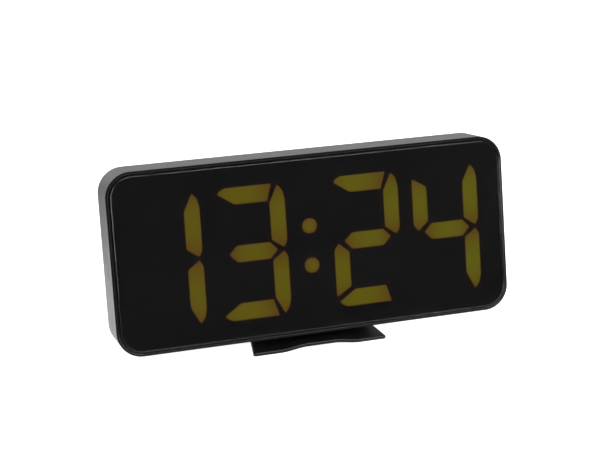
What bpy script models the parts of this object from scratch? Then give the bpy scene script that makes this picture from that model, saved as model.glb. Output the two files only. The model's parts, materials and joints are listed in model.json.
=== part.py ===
"""Desk alarm clock: a slim leaning case with a four-digit segment display on a thin wave-shaped foot.

World frame: metres, +Z up, the display faces -Y and +X is to the viewer's right. The origin is on the
table, under the middle of the whole clock's box. The case is modelled upright in its own frame, a
parent empty: X across, Y from the front rim to the back, Z up from its bottom front edge. The empty
leans the case back. All sizes below are in millimetres.
"""

import math

import bmesh
import bpy
from mathutils import Vector

MM = 0.001

# Case
CASE_WIDTH = 161.0
CASE_HEIGHT = 71.2
CASE_DEPTH = 20.0  # from the front rim to the back face
CORNER_RADIUS = 10.0
BACK_ROUNDING = 2.5
WALL = 1.8
GAP = 0.3  # clearance between neighbouring pieces
LEAN = math.radians(12.8)
EDGE_LIFT = 6.3  # the case's bottom front edge above the table

# Front: lens, frame and the stack behind them, as depths from the front rim
LENS_PROUD = 1.5
LENS_THICK = 1.1
LENS_INSET = 1.6
LENS_BEVEL = 0.45
LENS_BACK = LENS_THICK - LENS_PROUD
FRAME_SIDE = 0.45  # depth of the back of the frame's side, just in front of the housing's rim
RIM_PROUD = 0.6  # how far the frame's flat rim and its raised lip stand forward
NOSE_PROUD = 0.9
LEDGE_FRONT = LENS_BACK + GAP
LEDGE_BACK = 1.2
LEDGE_INSET = 5.3
SKIRT_BACK = 5.0
SKIRT_THICK = 1.3
MASK_THICK = 0.3
MASK_BACK = LEDGE_FRONT + MASK_THICK
DIFFUSER_FRONT = MASK_BACK + GAP
DIFFUSER_THICK = 0.6
REFLECTOR_FRONT = DIFFUSER_FRONT + DIFFUSER_THICK + GAP
REFLECTOR_DEPTH = 3.2
LED_BOARD_FRONT = REFLECTOR_FRONT + REFLECTOR_DEPTH + GAP
BOARD_THICK = 1.0
LED_BOARD_BACK = LED_BOARD_FRONT + BOARD_THICK
LED_SIZE = 2.0
LED_HEIGHT = 0.5
STACK_SIZE = (143.8, 53.2)

# Display: seven-segment cells, laid out about the display's own centre
DISPLAY_CENTRE = (-1.8, CASE_HEIGHT / 2 - 0.3)
CELL_CENTRES = (-57.1, -23.3, 23.3, 57.0)
COLON_HEIGHTS = (7.7, -8.0)
COLON_RADIUS = 3.1

# Rear housing
RIM_FRONT = FRAME_SIDE + GAP
BACK_INNER = CASE_DEPTH - WALL
SCREW_SPOTS = tuple((x, z) for x in (-72.0, 72.0) for z in (5.5, CASE_HEIGHT - 5.5))
SCREW_POST_FRONT = 8.4
SCREW_POST_RADIUS = 4.0
FRAME_POST_RADIUS = 2.8
CASE_SCREW_SEAT = 17.6  # depth at which the case screws' heads bear
CASE_SCREW_TIP = 4.0
CASE_SCREW_HEAD = 2.5  # radii of the screws' heads and of their bores
CASE_SCREW_BORE = 1.5
BOARD_POST_RADIUS = 1.8
BOARD_SCREW_BORE = 1.1

# Battery bay
BAY_LOW = (-62.0, 16.5)  # inner corner, x and z
BAY_HIGH = (-10.0, 51.0)
BAY_FLOOR = 7.3
BAY_FLOOR_THICK = 0.8
BAY_WALL = 2.2
DOOR_LEDGE = 0.9
DOOR_THICK = 1.5
CELL_RADIUS = 5.25
CELL_LENGTH = 44.5
CELL_PITCH = 11.3
CELL_DEPTH = BAY_FLOOR + 0.25 + CELL_RADIUS
CONTACT_THICK = 0.4
CONTACT_HALF = 4.2
SPRING_WIRE_RADIUS = 0.3
WIRE_RADIUS = 0.5
WIRE_EXIT_DEPTH = 9.6
HOOK_HALF = 3.0
HOOK_FRONT = 16.6
TONGUE_HALF = 5.6
TONGUE_LENGTH = 10.0
RIB_PROUD = 0.4

# Control board and what is on it
MAIN_BOARD_FRONT = 9.2
MAIN_BOARD_BACK = MAIN_BOARD_FRONT + BOARD_THICK
PARTS_FRONT = MAIN_BOARD_BACK + GAP
MAIN_BOARD_LOW = (6.0, 12.0)
MAIN_BOARD_HIGH = (70.0, 60.0)
BOARD_POSTS = ((9.0, 15.0), (68.0, 15.0), (9.0, 57.0), (68.0, 57.0))
BOARD_SCREW_SPOTS = ((68.0, 15.0), (9.0, 57.0))
BUTTON_NAMES = ("mode", "up", "down", "alarm", "light")
BUTTON_SPACING = 12.0
BUTTON_FIRST = 14.0
BUTTON_HEIGHT = 52.0
BUTTON_SIZE = (9.0, 5.0)
BUTTON_PROUD = 0.8
TACT_SIZE = 6.0
TACT_BACK = 14.0
PLUNGER_BACK = 15.0
KNOB_SPOT = (60.5, 38.0)
KNOB_SIZE = (4.0, 2.4)
KNOB_PROUD = 0.7
KNOB_TRAVEL = 3.0
BUZZER_SPOT = (22.0, 28.0)
GRILLE_HOLE_RADIUS = 0.9
GRILLE_RINGS = ((3.4, 6), (6.8, 12))  # ring radius and number of holes
INLET_SPOT = (62.0, 24.0)
INLET_HOLE_RADIUS = 3.3
PLUG_RADIUS = 2.85
INLET_PIN_RADIUS = 1.0

# Foot
FOOT_FRONT_WIDTH = 55.3
FOOT_DEPTH = 47.0
FOOT_AHEAD = 1.0  # how far the foot reaches in front of the case's bottom front edge
FOOT_TAPER = math.radians(9.4)
FOOT_THICK = 1.4
FOOT_RISE = 1.27
CREST_HALF = 5.5  # half width of the raised channel
CREST_SLOPE = 11.0  # width of the slope beside it
CREST_END = (13.5, 20.5)  # distances from the front over which the channel fades out
NECK_HALF = 12.0
NECK_FRONT = 8.0
NECK_BACK = 13.6
NECK_TOP = 4.7
FOOT_SCREW_HEAD = 2.3
FOOT_SCREW_BORE = 1.6

ROUND_STEPS = 24
SMALL_STEPS = 12
WELD = 1e-5
OVERLAP = 0.5  # how far joined solids reach into each other
OVERCUT = 1.0  # how far cutters reach past a surface


def front_overhang():
    """How far the lens stands in front of the case's bottom front edge once the case leans back."""
    return LENS_PROUD * math.cos(LEAN) - (LENS_INSET + LENS_BEVEL) * math.sin(LEAN)


FRONT_EDGE_Y = -(FOOT_DEPTH - FOOT_AHEAD - front_overhang()) / 2


# ---------------------------------------------------------------- scene and materials


def start_scene():
    """Empties the scene and makes the collections for parts and for cutters."""
    for obj in list(bpy.data.objects):
        bpy.data.objects.remove(obj)
    for name in ("alarm_clock", "cutters"):
        collection = bpy.data.collections.new(name)
        bpy.context.scene.collection.children.link(collection)


def make_case_frame():
    """The empty that leans the case back about its bottom front edge."""
    empty = bpy.data.objects.new("case_frame", None)
    empty.location = Vector((0.0, FRONT_EDGE_Y, EDGE_LIFT)) * MM
    empty.rotation_euler = (-LEAN, 0.0, 0.0)
    bpy.data.collections["alarm_clock"].objects.link(empty)
    return empty


def make_material(name, colour, roughness, metallic=0.0):
    """A Principled material."""
    material = bpy.data.materials.new(name)
    material.use_nodes = True
    shader = material.node_tree.nodes["Principled BSDF"]
    shader.inputs["Base Color"].default_value = (*colour, 1.0)
    shader.inputs["Roughness"].default_value = roughness
    shader.inputs["Metallic"].default_value = metallic
    return material


def add_part(obj, parent, material):
    """Puts a finished part in the clock's collection."""
    obj.data.materials.clear()
    obj.data.materials.append(material)
    obj.parent = parent
    bpy.data.collections["alarm_clock"].objects.link(obj)
    return obj


def add_tool(obj, parent):
    """Puts a Boolean operand in the cutters' collection."""
    obj.parent = parent
    obj.hide_render = True
    obj.display_type = "WIRE"
    bpy.data.collections["cutters"].objects.link(obj)
    return obj


def combine(target, operation, tool):
    """Adds a Boolean modifier to the target."""
    modifier = target.modifiers.new(tool.name, "BOOLEAN")
    modifier.operation = operation
    modifier.solver = "EXACT"
    modifier.object = tool


def smooth(obj):
    """Shades a mesh smooth, except at its sharp edges."""
    obj.data.shade_smooth()
    obj.data.set_sharp_from_angle(angle=math.radians(35.0))
    return obj


# ---------------------------------------------------------------- basic shapes


def rounded_outline(width, height, radius, steps=8, centre=(0.0, 0.0)):
    """Points of a rectangle with round corners, anticlockwise."""
    points = []
    for quarter, (side, end) in enumerate(((1, 1), (-1, 1), (-1, -1), (1, -1))):
        corner_x = centre[0] + side * (width / 2 - radius)
        corner_y = centre[1] + end * (height / 2 - radius)
        for step in range(steps + 1):
            angle = math.pi / 2 * (quarter + step / steps)
            points.append((corner_x + radius * math.cos(angle), corner_y + radius * math.sin(angle)))
    return points


def pill_outline(width, height, centre=(0.0, 0.0)):
    """Points of a bar with half-round ends."""
    points = []
    for end in (0, 1):
        middle = centre[0] + (1 - 2 * end) * (width - height) / 2
        for step in range(SMALL_STEPS // 2 + 1):
            angle = math.pi * (end - 0.5 + step / (SMALL_STEPS // 2))
            points.append(
                (middle + height / 2 * math.cos(angle), centre[1] + height / 2 * math.sin(angle))
            )
    return points


def circle_outline(radius, centre=(0.0, 0.0), steps=SMALL_STEPS):
    """Points of a circle."""
    angles = [2 * math.pi * step / steps for step in range(steps)]
    return [(centre[0] + radius * math.cos(a), centre[1] + radius * math.sin(a)) for a in angles]


def curve_object(name, outlines):
    """A flat curve through closed outlines."""
    data = bpy.data.curves.new(name, "CURVE")
    data.dimensions = "2D"
    for points in outlines:
        spline = data.splines.new("POLY")
        spline.points.add(len(points) - 1)
        for point, (x, y) in zip(spline.points, points):
            point.co = (x * MM, y * MM, 0.0, 1.0)
        spline.use_cyclic_u = True
    return bpy.data.objects.new(name, data)


def curve_to_mesh(curve):
    """Replaces a curve object by the closed mesh that it shows."""
    bpy.context.scene.collection.objects.link(curve)
    graph = bpy.context.evaluated_depsgraph_get()
    mesh = bpy.data.meshes.new_from_object(curve.evaluated_get(graph))
    edit = bmesh.new()
    edit.from_mesh(mesh)
    bmesh.ops.remove_doubles(edit, verts=edit.verts, dist=WELD * MM)
    bmesh.ops.recalc_face_normals(edit, faces=edit.faces)
    edit.to_mesh(mesh)
    edit.free()
    solid = bpy.data.objects.new(curve.name + "_solid", mesh)
    solid.matrix_world = curve.matrix_world
    name = curve.name
    bpy.data.objects.remove(curve)
    solid.name = name
    return solid


def slab(name, outlines, front, back):
    """Outlines in the case's X-Z plane, solid between two depths. Inner outlines are holes."""
    curve = curve_object(name, outlines)
    curve.data.fill_mode = "BOTH"
    curve.data.extrude = (back - front) / 2 * MM
    solid = curve_to_mesh(curve)
    solid.rotation_euler = (math.pi / 2, 0.0, 0.0)
    solid.location = (0.0, (front + back) / 2 * MM, 0.0)
    return solid


def swept_ring(name, profile, width, height, radius, centre):
    """A closed profile of (inset, forward) points carried round a rounded rectangle."""
    path = curve_object(name, [rounded_outline(width, height, radius, centre=centre)])
    section = curve_object(name + "_section", [profile])
    bpy.context.scene.collection.objects.link(section)
    path.data.bevel_mode = "OBJECT"
    path.data.bevel_object = section
    solid = curve_to_mesh(path)
    bpy.data.objects.remove(section)
    solid.rotation_euler = (math.pi / 2, 0.0, 0.0)
    return solid


def mesh_object(name, edit):
    """Turns a bmesh into an object."""
    mesh = bpy.data.meshes.new(name)
    edit.to_mesh(mesh)
    edit.free()
    return bpy.data.objects.new(name, mesh)


def box(name, low, high):
    """A box between two corners."""
    edit = bmesh.new()
    bmesh.ops.create_cube(edit, size=1.0)
    size = (Vector(high) - Vector(low)) * MM
    bmesh.ops.scale(edit, vec=size, verts=edit.verts)
    obj = mesh_object(name, edit)
    obj.location = (Vector(low) + Vector(high)) / 2 * MM
    return obj


def rod(name, radius, start, end, steps=SMALL_STEPS):
    """A cylinder between two points."""
    span = (Vector(end) - Vector(start)) * MM
    edit = bmesh.new()
    bmesh.ops.create_cone(
        edit,
        cap_ends=True,
        segments=steps,
        radius1=radius * MM,
        radius2=radius * MM,
        depth=span.length,
    )
    obj = smooth(mesh_object(name, edit))
    obj.rotation_mode = "QUATERNION"
    obj.rotation_quaternion = span.to_track_quat("Z", "Y")
    obj.location = (Vector(start) + Vector(end)) / 2 * MM
    return obj


def turned(name, profile, base, direction, steps=ROUND_STEPS):
    """A profile of (radius, height) points, top to bottom, turned about a line from base."""
    edit = bmesh.new()
    corners = [edit.verts.new((radius * MM, 0.0, height * MM)) for radius, height in profile]
    for first, second in zip(corners, corners[1:]):
        edit.edges.new((first, second))
    obj = mesh_object(name, edit)
    screw = obj.modifiers.new("turn", "SCREW")
    screw.steps = steps
    screw.render_steps = steps
    screw.use_merge_vertices = True
    screw.merge_threshold = WELD
    obj.rotation_mode = "QUATERNION"
    obj.rotation_quaternion = Vector(direction).to_track_quat("Z", "Y")
    obj.location = Vector(base) * MM
    return obj


def gather(name, pieces):
    """Joins the meshes of several operands that don't touch into one object."""
    edit = bmesh.new()
    for piece in pieces:
        first = len(edit.verts)
        edit.from_mesh(piece.data)
        edit.verts.ensure_lookup_table()
        bmesh.ops.transform(edit, matrix=piece.matrix_basis, verts=edit.verts[first:])
        bpy.data.objects.remove(piece)
    return mesh_object(name, edit)


def round_edges(obj, width, segments, angle=60.0):
    """Adds a Bevel modifier on the sharp edges."""
    bevel = obj.modifiers.new("edges", "BEVEL")
    bevel.width = width * MM
    bevel.segments = segments
    bevel.use_clamp_overlap = False
    bevel.limit_method = "ANGLE"
    bevel.angle_limit = math.radians(angle)


# ---------------------------------------------------------------- display layout


def upper_segments():
    """Outlines of segments a, b, f and g about the cell's centre, anticlockwise from the left."""
    return {
        "a": [(-6.2, 19.1), (6.7, 19.1), (8.9, 25.8), (-9.8, 25.8), (-11.6, 24.9), (-13.0, 23.6)],
        "b": [(7.6, 4.0), (12.4, 0.6), (13.9, 3.2), (13.9, 19.6), (13.1, 22.8), (11.2, 25.2), (7.6, 18.4)],
        "f": [(-14.0, 3.2), (-12.0, 0.6), (-7.7, 4.2), (-7.7, 17.9), (-13.6, 21.5), (-14.0, 20.6)],
        "g": [(-9.6, 0.0), (-6.3, -3.3), (6.6, -3.3), (10.0, 0.0), (6.8, 3.3), (-6.3, 3.3)],
    }


def cell_segments():
    """All seven outlines; the lower half mirrors the upper."""
    shapes = upper_segments()
    for upper, lower in (("a", "d"), ("b", "c"), ("f", "e")):
        shapes[lower] = [(x, -z) for x, z in reversed(shapes[upper])]
    return shapes


def display_windows(spread=0.0):
    """Every segment and colon dot in the case's frame, moved outward by spread."""
    windows = []
    shapes = cell_segments()
    for middle in CELL_CENTRES:
        for name in sorted(shapes):
            outline = grow_outline(shapes[name], spread)
            windows.append([(x + middle + DISPLAY_CENTRE[0], z + DISPLAY_CENTRE[1]) for x, z in outline])
    for height in COLON_HEIGHTS:
        centre = (DISPLAY_CENTRE[0], DISPLAY_CENTRE[1] + height)
        windows.append(circle_outline(COLON_RADIUS + spread, centre))
    return windows


def grow_outline(points, spread):
    """Scales an outline about its middle so that its sides move out by about spread."""
    middle_x = sum(x for x, _ in points) / len(points)
    middle_z = sum(z for _, z in points) / len(points)
    half_x = (max(x for x, _ in points) - min(x for x, _ in points)) / 2
    half_z = (max(z for _, z in points) - min(z for _, z in points)) / 2
    scale_x = 1.0 + spread / half_x
    scale_z = 1.0 + spread / half_z
    return [
        (middle_x + (x - middle_x) * scale_x, middle_z + (z - middle_z) * scale_z) for x, z in points
    ]


def stack_outline():
    """The reflector's, diffuser's and LED board's common outline."""
    return rounded_outline(*STACK_SIZE, 1.0, steps=2, centre=DISPLAY_CENTRE)


# ---------------------------------------------------------------- front of the case


def make_front(case, paints):
    """Lens, mask, frame, diffuser, reflector and LED board, from the front backwards."""
    middle = (0.0, CASE_HEIGHT / 2)

    lens_size = (CASE_WIDTH - 2 * LENS_INSET, CASE_HEIGHT - 2 * LENS_INSET)
    lens_outline = rounded_outline(*lens_size, CORNER_RADIUS - LENS_INSET, centre=middle)
    lens = slab("front_lens", [lens_outline], -LENS_PROUD, LENS_BACK)
    round_edges(lens, LENS_BEVEL, 1)
    smooth(lens)
    add_part(lens, case, paints["smoked_lens"])

    mask_inset = LEDGE_INSET + GAP
    mask_size = (CASE_WIDTH - 2 * mask_inset, CASE_HEIGHT - 2 * mask_inset)
    mask_outline = rounded_outline(*mask_size, CORNER_RADIUS - mask_inset, 6, middle)
    mask = slab("display_mask", [mask_outline, *display_windows()], LEDGE_FRONT, MASK_BACK)
    add_part(mask, case, paints["mask_black"])

    diffuser_back = DIFFUSER_FRONT + DIFFUSER_THICK
    diffuser = slab("diffuser_sheet", [stack_outline()], DIFFUSER_FRONT, diffuser_back)
    add_part(diffuser, case, paints["diffuser_white"])

    wells = [stack_outline(), *display_windows(-GAP)]
    reflector = slab("reflector_block", wells, REFLECTOR_FRONT, REFLECTOR_FRONT + REFLECTOR_DEPTH)
    add_part(reflector, case, paints["reflector_white"])

    make_frame(case, paints)
    make_led_board(case, paints)


def make_frame(case, paints):
    """Front frame with a flat rim and a raised lip that holds the lens, with a skirt and screw posts inside the housing."""
    inner = LENS_INSET - GAP
    skirt_outer = WALL + GAP
    profile = [
        (0.0, -FRAME_SIDE),
        (0.0, RIM_PROUD - 0.15),
        (0.15, RIM_PROUD),
        (0.6, RIM_PROUD),
        (0.85, NOSE_PROUD),
        (inner - 0.15, NOSE_PROUD),
        (inner, NOSE_PROUD - 0.15),
        (inner, -LEDGE_FRONT),
        (LEDGE_INSET, -LEDGE_FRONT),
        (LEDGE_INSET, -LEDGE_BACK),
        (skirt_outer + SKIRT_THICK, -LEDGE_BACK),
        (skirt_outer + SKIRT_THICK, -SKIRT_BACK),
        (skirt_outer, -SKIRT_BACK),
        (skirt_outer, -FRAME_SIDE),
    ]
    middle = (0.0, CASE_HEIGHT / 2)
    frame = swept_ring("front_frame", profile, CASE_WIDTH, CASE_HEIGHT, CORNER_RADIUS, middle)
    smooth(frame)
    posts = []
    bores = []
    for x, z in SCREW_SPOTS:
        post_front = LEDGE_BACK - 0.5
        post_back = SCREW_POST_FRONT - GAP
        posts.append(rod("post", FRAME_POST_RADIUS, (x, post_front, z), (x, post_back, z)))
        bore_end = (x, post_back + OVERCUT, z)
        bores.append(rod("bore", CASE_SCREW_BORE, (x, CASE_SCREW_TIP - GAP, z), bore_end))
    combine(frame, "UNION", add_tool(gather("frame_posts", posts), case))
    combine(frame, "DIFFERENCE", add_tool(gather("frame_bores", bores), case))
    add_part(frame, case, paints["frame_black"])


def make_led_board(case, paints):
    """Board behind the reflector with one LED in each well."""
    board = slab("led_board", [stack_outline()], LED_BOARD_FRONT, LED_BOARD_BACK)
    chips = []
    for outline in display_windows():
        x = sum(point[0] for point in outline) / len(outline)
        z = sum(point[1] for point in outline) / len(outline)
        half = LED_SIZE / 2
        low = (x - half, LED_BOARD_FRONT - LED_HEIGHT, z - half)
        high = (x + half, LED_BOARD_FRONT + 0.2, z + half)
        chips.append(box("led", low, high))
    combine(board, "UNION", add_tool(gather("leds", chips), case))
    add_part(board, case, paints["board_green"])


# ---------------------------------------------------------------- rear housing


def housing_shell():
    """Open-fronted tray with round corners and a rounded back edge."""
    edit = bmesh.new()
    bmesh.ops.create_cube(edit, size=1.0)
    depth = CASE_DEPTH - RIM_FRONT
    bmesh.ops.scale(edit, vec=Vector((CASE_WIDTH, depth, CASE_HEIGHT)) * MM, verts=edit.verts)
    weights = edit.edges.layers.float.new("bevel_weight_edge")
    for edge in edit.edges:
        ends = edge.verts[0].co - edge.verts[1].co
        edge[weights] = 1.0 if abs(ends.y) > 0.0 else 0.0
    fronts = [face for face in edit.faces if face.normal.y < -0.5]
    bmesh.ops.delete(edit, geom=fronts, context="FACES_ONLY")
    shell = mesh_object("rear_housing", edit)
    shell.location = Vector((0.0, CASE_DEPTH - depth / 2, CASE_HEIGHT / 2)) * MM
    corners = shell.modifiers.new("corners", "BEVEL")
    corners.width = CORNER_RADIUS * MM
    corners.segments = 8
    corners.limit_method = "WEIGHT"
    round_edges(shell, BACK_ROUNDING, 3, angle=50.0)
    walls = shell.modifiers.new("walls", "SOLIDIFY")
    walls.thickness = WALL * MM
    walls.offset = -1.0
    walls.use_even_offset = True
    return shell


def bay_box(name, margin, front, back):
    """A box as large as the battery bay plus a margin all round."""
    low = (BAY_LOW[0] - margin, front, BAY_LOW[1] - margin)
    high = (BAY_HIGH[0] + margin, back, BAY_HIGH[1] + margin)
    return box(name, low, high)


def housing_posts():
    """Screw posts at the corners and the control board's posts."""
    posts = []
    root = BACK_INNER + OVERLAP
    for x, z in SCREW_SPOTS:
        start = (x, SCREW_POST_FRONT, z)
        posts.append(rod("post", SCREW_POST_RADIUS, start, (x, root, z), ROUND_STEPS))
    for x, z in BOARD_POSTS:
        posts.append(rod("post", BOARD_POST_RADIUS, (x, PARTS_FRONT, z), (x, root, z)))
    return gather("housing_posts", posts)


def housing_bores():
    """Holes for the case screws, the board screws and the power plug."""
    bores = []
    for x, z in SCREW_SPOTS:
        start = (x, SCREW_POST_FRONT - OVERCUT, z)
        bores.append(rod("bore", CASE_SCREW_BORE, start, (x, CASE_SCREW_SEAT + 0.2, z)))
    for x, z in BOARD_SCREW_SPOTS:
        start = (x, PARTS_FRONT - OVERCUT, z)
        bores.append(rod("bore", BOARD_SCREW_BORE, start, (x, PARTS_FRONT + 4.5, z)))
    x, z = INLET_SPOT
    start = (x, BACK_INNER - OVERCUT, z)
    bores.append(rod("bore", INLET_HOLE_RADIUS, start, (x, CASE_DEPTH + OVERCUT, z), ROUND_STEPS))
    return gather("housing_bores", bores)


def housing_seats():
    """Deep seats for the case screws' heads."""
    seats = []
    for x, z in SCREW_SPOTS:
        end = (x, CASE_DEPTH + OVERCUT, z)
        seats.append(rod("seat", CASE_SCREW_HEAD + 0.4, (x, CASE_SCREW_SEAT, z), end, ROUND_STEPS))
    return gather("housing_seats", seats)


def wire_holes():
    """Openings for the two battery wires, as boxes through the bay's end walls."""
    span = WIRE_RADIUS + 2 * GAP
    low_cell = (BAY_LOW[1] + BAY_HIGH[1]) / 2 - CELL_PITCH
    high_cell = low_cell + 2 * CELL_PITCH
    right = box(
        "hole",
        (BAY_HIGH[0] - OVERCUT, WIRE_EXIT_DEPTH - span, low_cell - span),
        (BAY_HIGH[0] + BAY_WALL + OVERCUT, WIRE_EXIT_DEPTH + span, low_cell + span),
    )
    left = box(
        "hole",
        (BAY_LOW[0] - BAY_WALL - OVERCUT, WIRE_EXIT_DEPTH - span, high_cell - span),
        (BAY_LOW[0] + OVERCUT, WIRE_EXIT_DEPTH + span, high_cell + span),
    )
    return gather("wire_holes", [right, left])


def button_x(index):
    """Where a button stands along the row."""
    return BUTTON_FIRST + BUTTON_SPACING * index


def control_openings():
    """Outlines cut through the back wall for the buttons, the switch and the sounder."""
    outlines = []
    width, height = BUTTON_SIZE
    for index in range(len(BUTTON_NAMES)):
        centre = (button_x(index), BUTTON_HEIGHT)
        outlines.append(pill_outline(width + 2 * GAP, height + 2 * GAP, centre))
    knob_x, knob_z = KNOB_SPOT
    slot_centre = (knob_x + KNOB_TRAVEL / 2, knob_z)
    slot_width = KNOB_SIZE[0] + KNOB_TRAVEL + 2 * GAP
    outlines.append(rounded_outline(slot_width, KNOB_SIZE[1] + 2 * GAP, 0.5, 2, slot_centre))
    outlines.append(circle_outline(GRILLE_HOLE_RADIUS, BUZZER_SPOT, 8))
    for ring, count in GRILLE_RINGS:
        for step in range(count):
            angle = 2 * math.pi * step / count
            spot = (
                BUZZER_SPOT[0] + ring * math.cos(angle),
                BUZZER_SPOT[1] + ring * math.sin(angle),
            )
            outlines.append(circle_outline(GRILLE_HOLE_RADIUS, spot, 8))
    return slab("control_openings", outlines, BACK_INNER - OVERCUT, CASE_DEPTH + OVERCUT)


def make_housing(case, paints):
    """Rear housing with the battery bay, posts, foot socket and every opening."""
    housing = housing_shell()
    solids = [
        bay_box("bay_walls", BAY_WALL, BAY_FLOOR - BAY_FLOOR_THICK, BACK_INNER + OVERLAP),
        box("foot_socket", (-14.5, NECK_FRONT - 1.3, 1.0), (14.5, NECK_BACK + 2.0, 12.0)),
        housing_posts(),
    ]
    for solid in solids:
        combine(housing, "UNION", add_tool(solid, case))
    neck = (NECK_HALF + GAP, NECK_FRONT - GAP, NECK_BACK + GAP, NECK_TOP + GAP)
    screw_y = (NECK_FRONT + NECK_BACK) / 2
    pockets = []
    for x in door_tab_centres():
        low = (x - HOOK_HALF - 1.0, HOOK_FRONT - 0.8, BAY_LOW[1] - 1.8)
        high = (x + HOOK_HALF + 1.0, BACK_INNER + 0.4, BAY_LOW[1] + 0.5)
        pockets.append(box("pocket", low, high))
    cutters = [
        bay_box("bay_hollow", 0.0, BAY_FLOOR, CASE_DEPTH + OVERCUT),
        bay_box("door_recess", DOOR_LEDGE, BACK_INNER, CASE_DEPTH + 1.5),
        gather("tab_pockets", pockets),
        housing_bores(),
        wire_holes(),
        control_openings(),
        box("foot_mortise", (-neck[0], neck[1], -1.0), (neck[0], neck[2], neck[3])),
        rod("foot_screw_bore", FOOT_SCREW_BORE, (0.0, screw_y, NECK_TOP - OVERCUT), (0.0, screw_y, 10.9)),
        housing_seats(),
    ]
    for index, cutter in enumerate(cutters):
        cutter.name = "housing_cut_" + str(index)
        combine(housing, "DIFFERENCE", add_tool(cutter, case))
    add_part(housing, case, paints["housing_charcoal"])


# ---------------------------------------------------------------- battery bay


def door_tab_centres():
    """Where the door's two hooks stand."""
    middle = (BAY_LOW[0] + BAY_HIGH[0]) / 2
    return (middle - 15.0, middle + 15.0)


def make_battery_door(case, paints):
    """Door with two hooks below and a spring tongue above; its origin is on its lower outer edge."""
    margin = DOOR_LEDGE - GAP
    low = (BAY_LOW[0] - margin, CASE_DEPTH - DOOR_THICK, BAY_LOW[1] - margin)
    high = (BAY_HIGH[0] + margin, CASE_DEPTH, BAY_HIGH[1] + margin)
    centre_x = (low[0] + high[0]) / 2
    centre_z = (low[2] + high[2]) / 2
    size = (high[0] - low[0], high[2] - low[2])
    outline = rounded_outline(*size, 0.6, steps=2, centre=(centre_x, centre_z))
    door = slab("battery_door", [outline], low[1], high[1])
    hooks = []
    for x in door_tab_centres():
        hook_low = (x - HOOK_HALF, HOOK_FRONT, low[2])
        hooks.append(box("hook", hook_low, (x + HOOK_HALF, low[1] + 0.3, low[2] + 1.2)))
    combine(door, "UNION", add_tool(gather("door_hooks", hooks), case))
    lips = []
    for x in door_tab_centres():
        lip_low = (x - HOOK_HALF, HOOK_FRONT, low[2] - 1.0)
        lips.append(box("lip", lip_low, (x + HOOK_HALF, HOOK_FRONT + 1.3, low[2] + 0.4)))
    combine(door, "UNION", add_tool(gather("door_lips", lips), case))
    slots = []
    for side in (-1.0, 1.0):
        x = centre_x + side * TONGUE_HALF
        slot_low = (x - 0.4, low[1] - OVERCUT, high[2] - TONGUE_LENGTH)
        slots.append(box("slot", slot_low, (x + 0.4, high[1] + OVERCUT, high[2] + OVERCUT)))
    combine(door, "DIFFERENCE", add_tool(gather("tongue_slots", slots), case))
    ribs = []
    for step in range(4):
        height = high[2] - 2.2 - 1.6 * step
        rib_low = (centre_x - 3.6, CASE_DEPTH - 0.2, height - 0.3)
        ribs.append(box("rib", rib_low, (centre_x + 3.6, CASE_DEPTH + RIB_PROUD, height + 0.3)))
    combine(door, "UNION", add_tool(gather("tongue_ribs", ribs), case))
    hinge = Vector((0.0, CASE_DEPTH, low[2])) * MM
    for vertex in door.data.vertices:
        vertex.co = door.matrix_basis @ vertex.co - hinge
    door.rotation_euler = (0.0, 0.0, 0.0)
    door.location = hinge
    add_part(door, case, paints["housing_charcoal"])


def cell_heights():
    """The three cells' heights, top to bottom."""
    middle = (BAY_LOW[1] + BAY_HIGH[1]) / 2
    return (middle + CELL_PITCH, middle, middle - CELL_PITCH)


def make_cells(case, paints):
    """Three AAA cells in alternate directions with a conical spring at each negative end."""
    near_plate = CONTACT_THICK + 2 * GAP
    profile = [
        (0.0, CELL_LENGTH),
        (1.9, CELL_LENGTH),
        (1.9, CELL_LENGTH - 1.0),
        (4.6, CELL_LENGTH - 1.0),
        (CELL_RADIUS, CELL_LENGTH - 1.6),
        (CELL_RADIUS, 0.5),
        (4.7, 0.0),
        (0.0, 0.0),
    ]
    for index, height in enumerate(cell_heights()):
        sign = 1.0 if index % 2 == 0 else -1.0
        tip = BAY_HIGH[0] - near_plate - GAP if sign > 0 else BAY_LOW[0] + near_plate + GAP
        base = tip - sign * CELL_LENGTH
        wall = BAY_LOW[0] + near_plate + GAP if sign > 0 else BAY_HIGH[0] - near_plate - GAP
        name = "battery_cell_" + str(index + 1)
        cell = turned(name, profile, (base, CELL_DEPTH, height), (sign, 0.0, 0.0), 20)
        add_part(smooth(cell), case, paints["cell_wrap"])
        wire = spring_wire("contact_spring_" + str(index + 1), wall, base - sign * 2 * GAP, height)
        add_part(wire, case, paints["contact_nickel"])


def spring_wire(name, start_x, end_x, height):
    """Conical spring wire along X."""
    turns = 3
    steps_per_turn = 8
    data = bpy.data.curves.new(name, "CURVE")
    data.dimensions = "3D"
    data.bevel_depth = SPRING_WIRE_RADIUS * MM
    data.bevel_resolution = 1
    data.use_fill_caps = True
    spline = data.splines.new("POLY")
    count = turns * steps_per_turn
    spline.points.add(count)
    inset = math.copysign(SPRING_WIRE_RADIUS + 0.1, end_x - start_x)
    for step, point in enumerate(spline.points):
        part = step / count
        angle = 2 * math.pi * turns * part
        radius = 3.6 - 1.4 * part
        x = start_x + inset + (end_x - start_x - 2 * inset) * part
        place = (x, CELL_DEPTH + radius * math.cos(angle), height + radius * math.sin(angle))
        point.co = (*(value * MM for value in place), 1.0)
    return bpy.data.objects.new(name, data)


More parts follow.
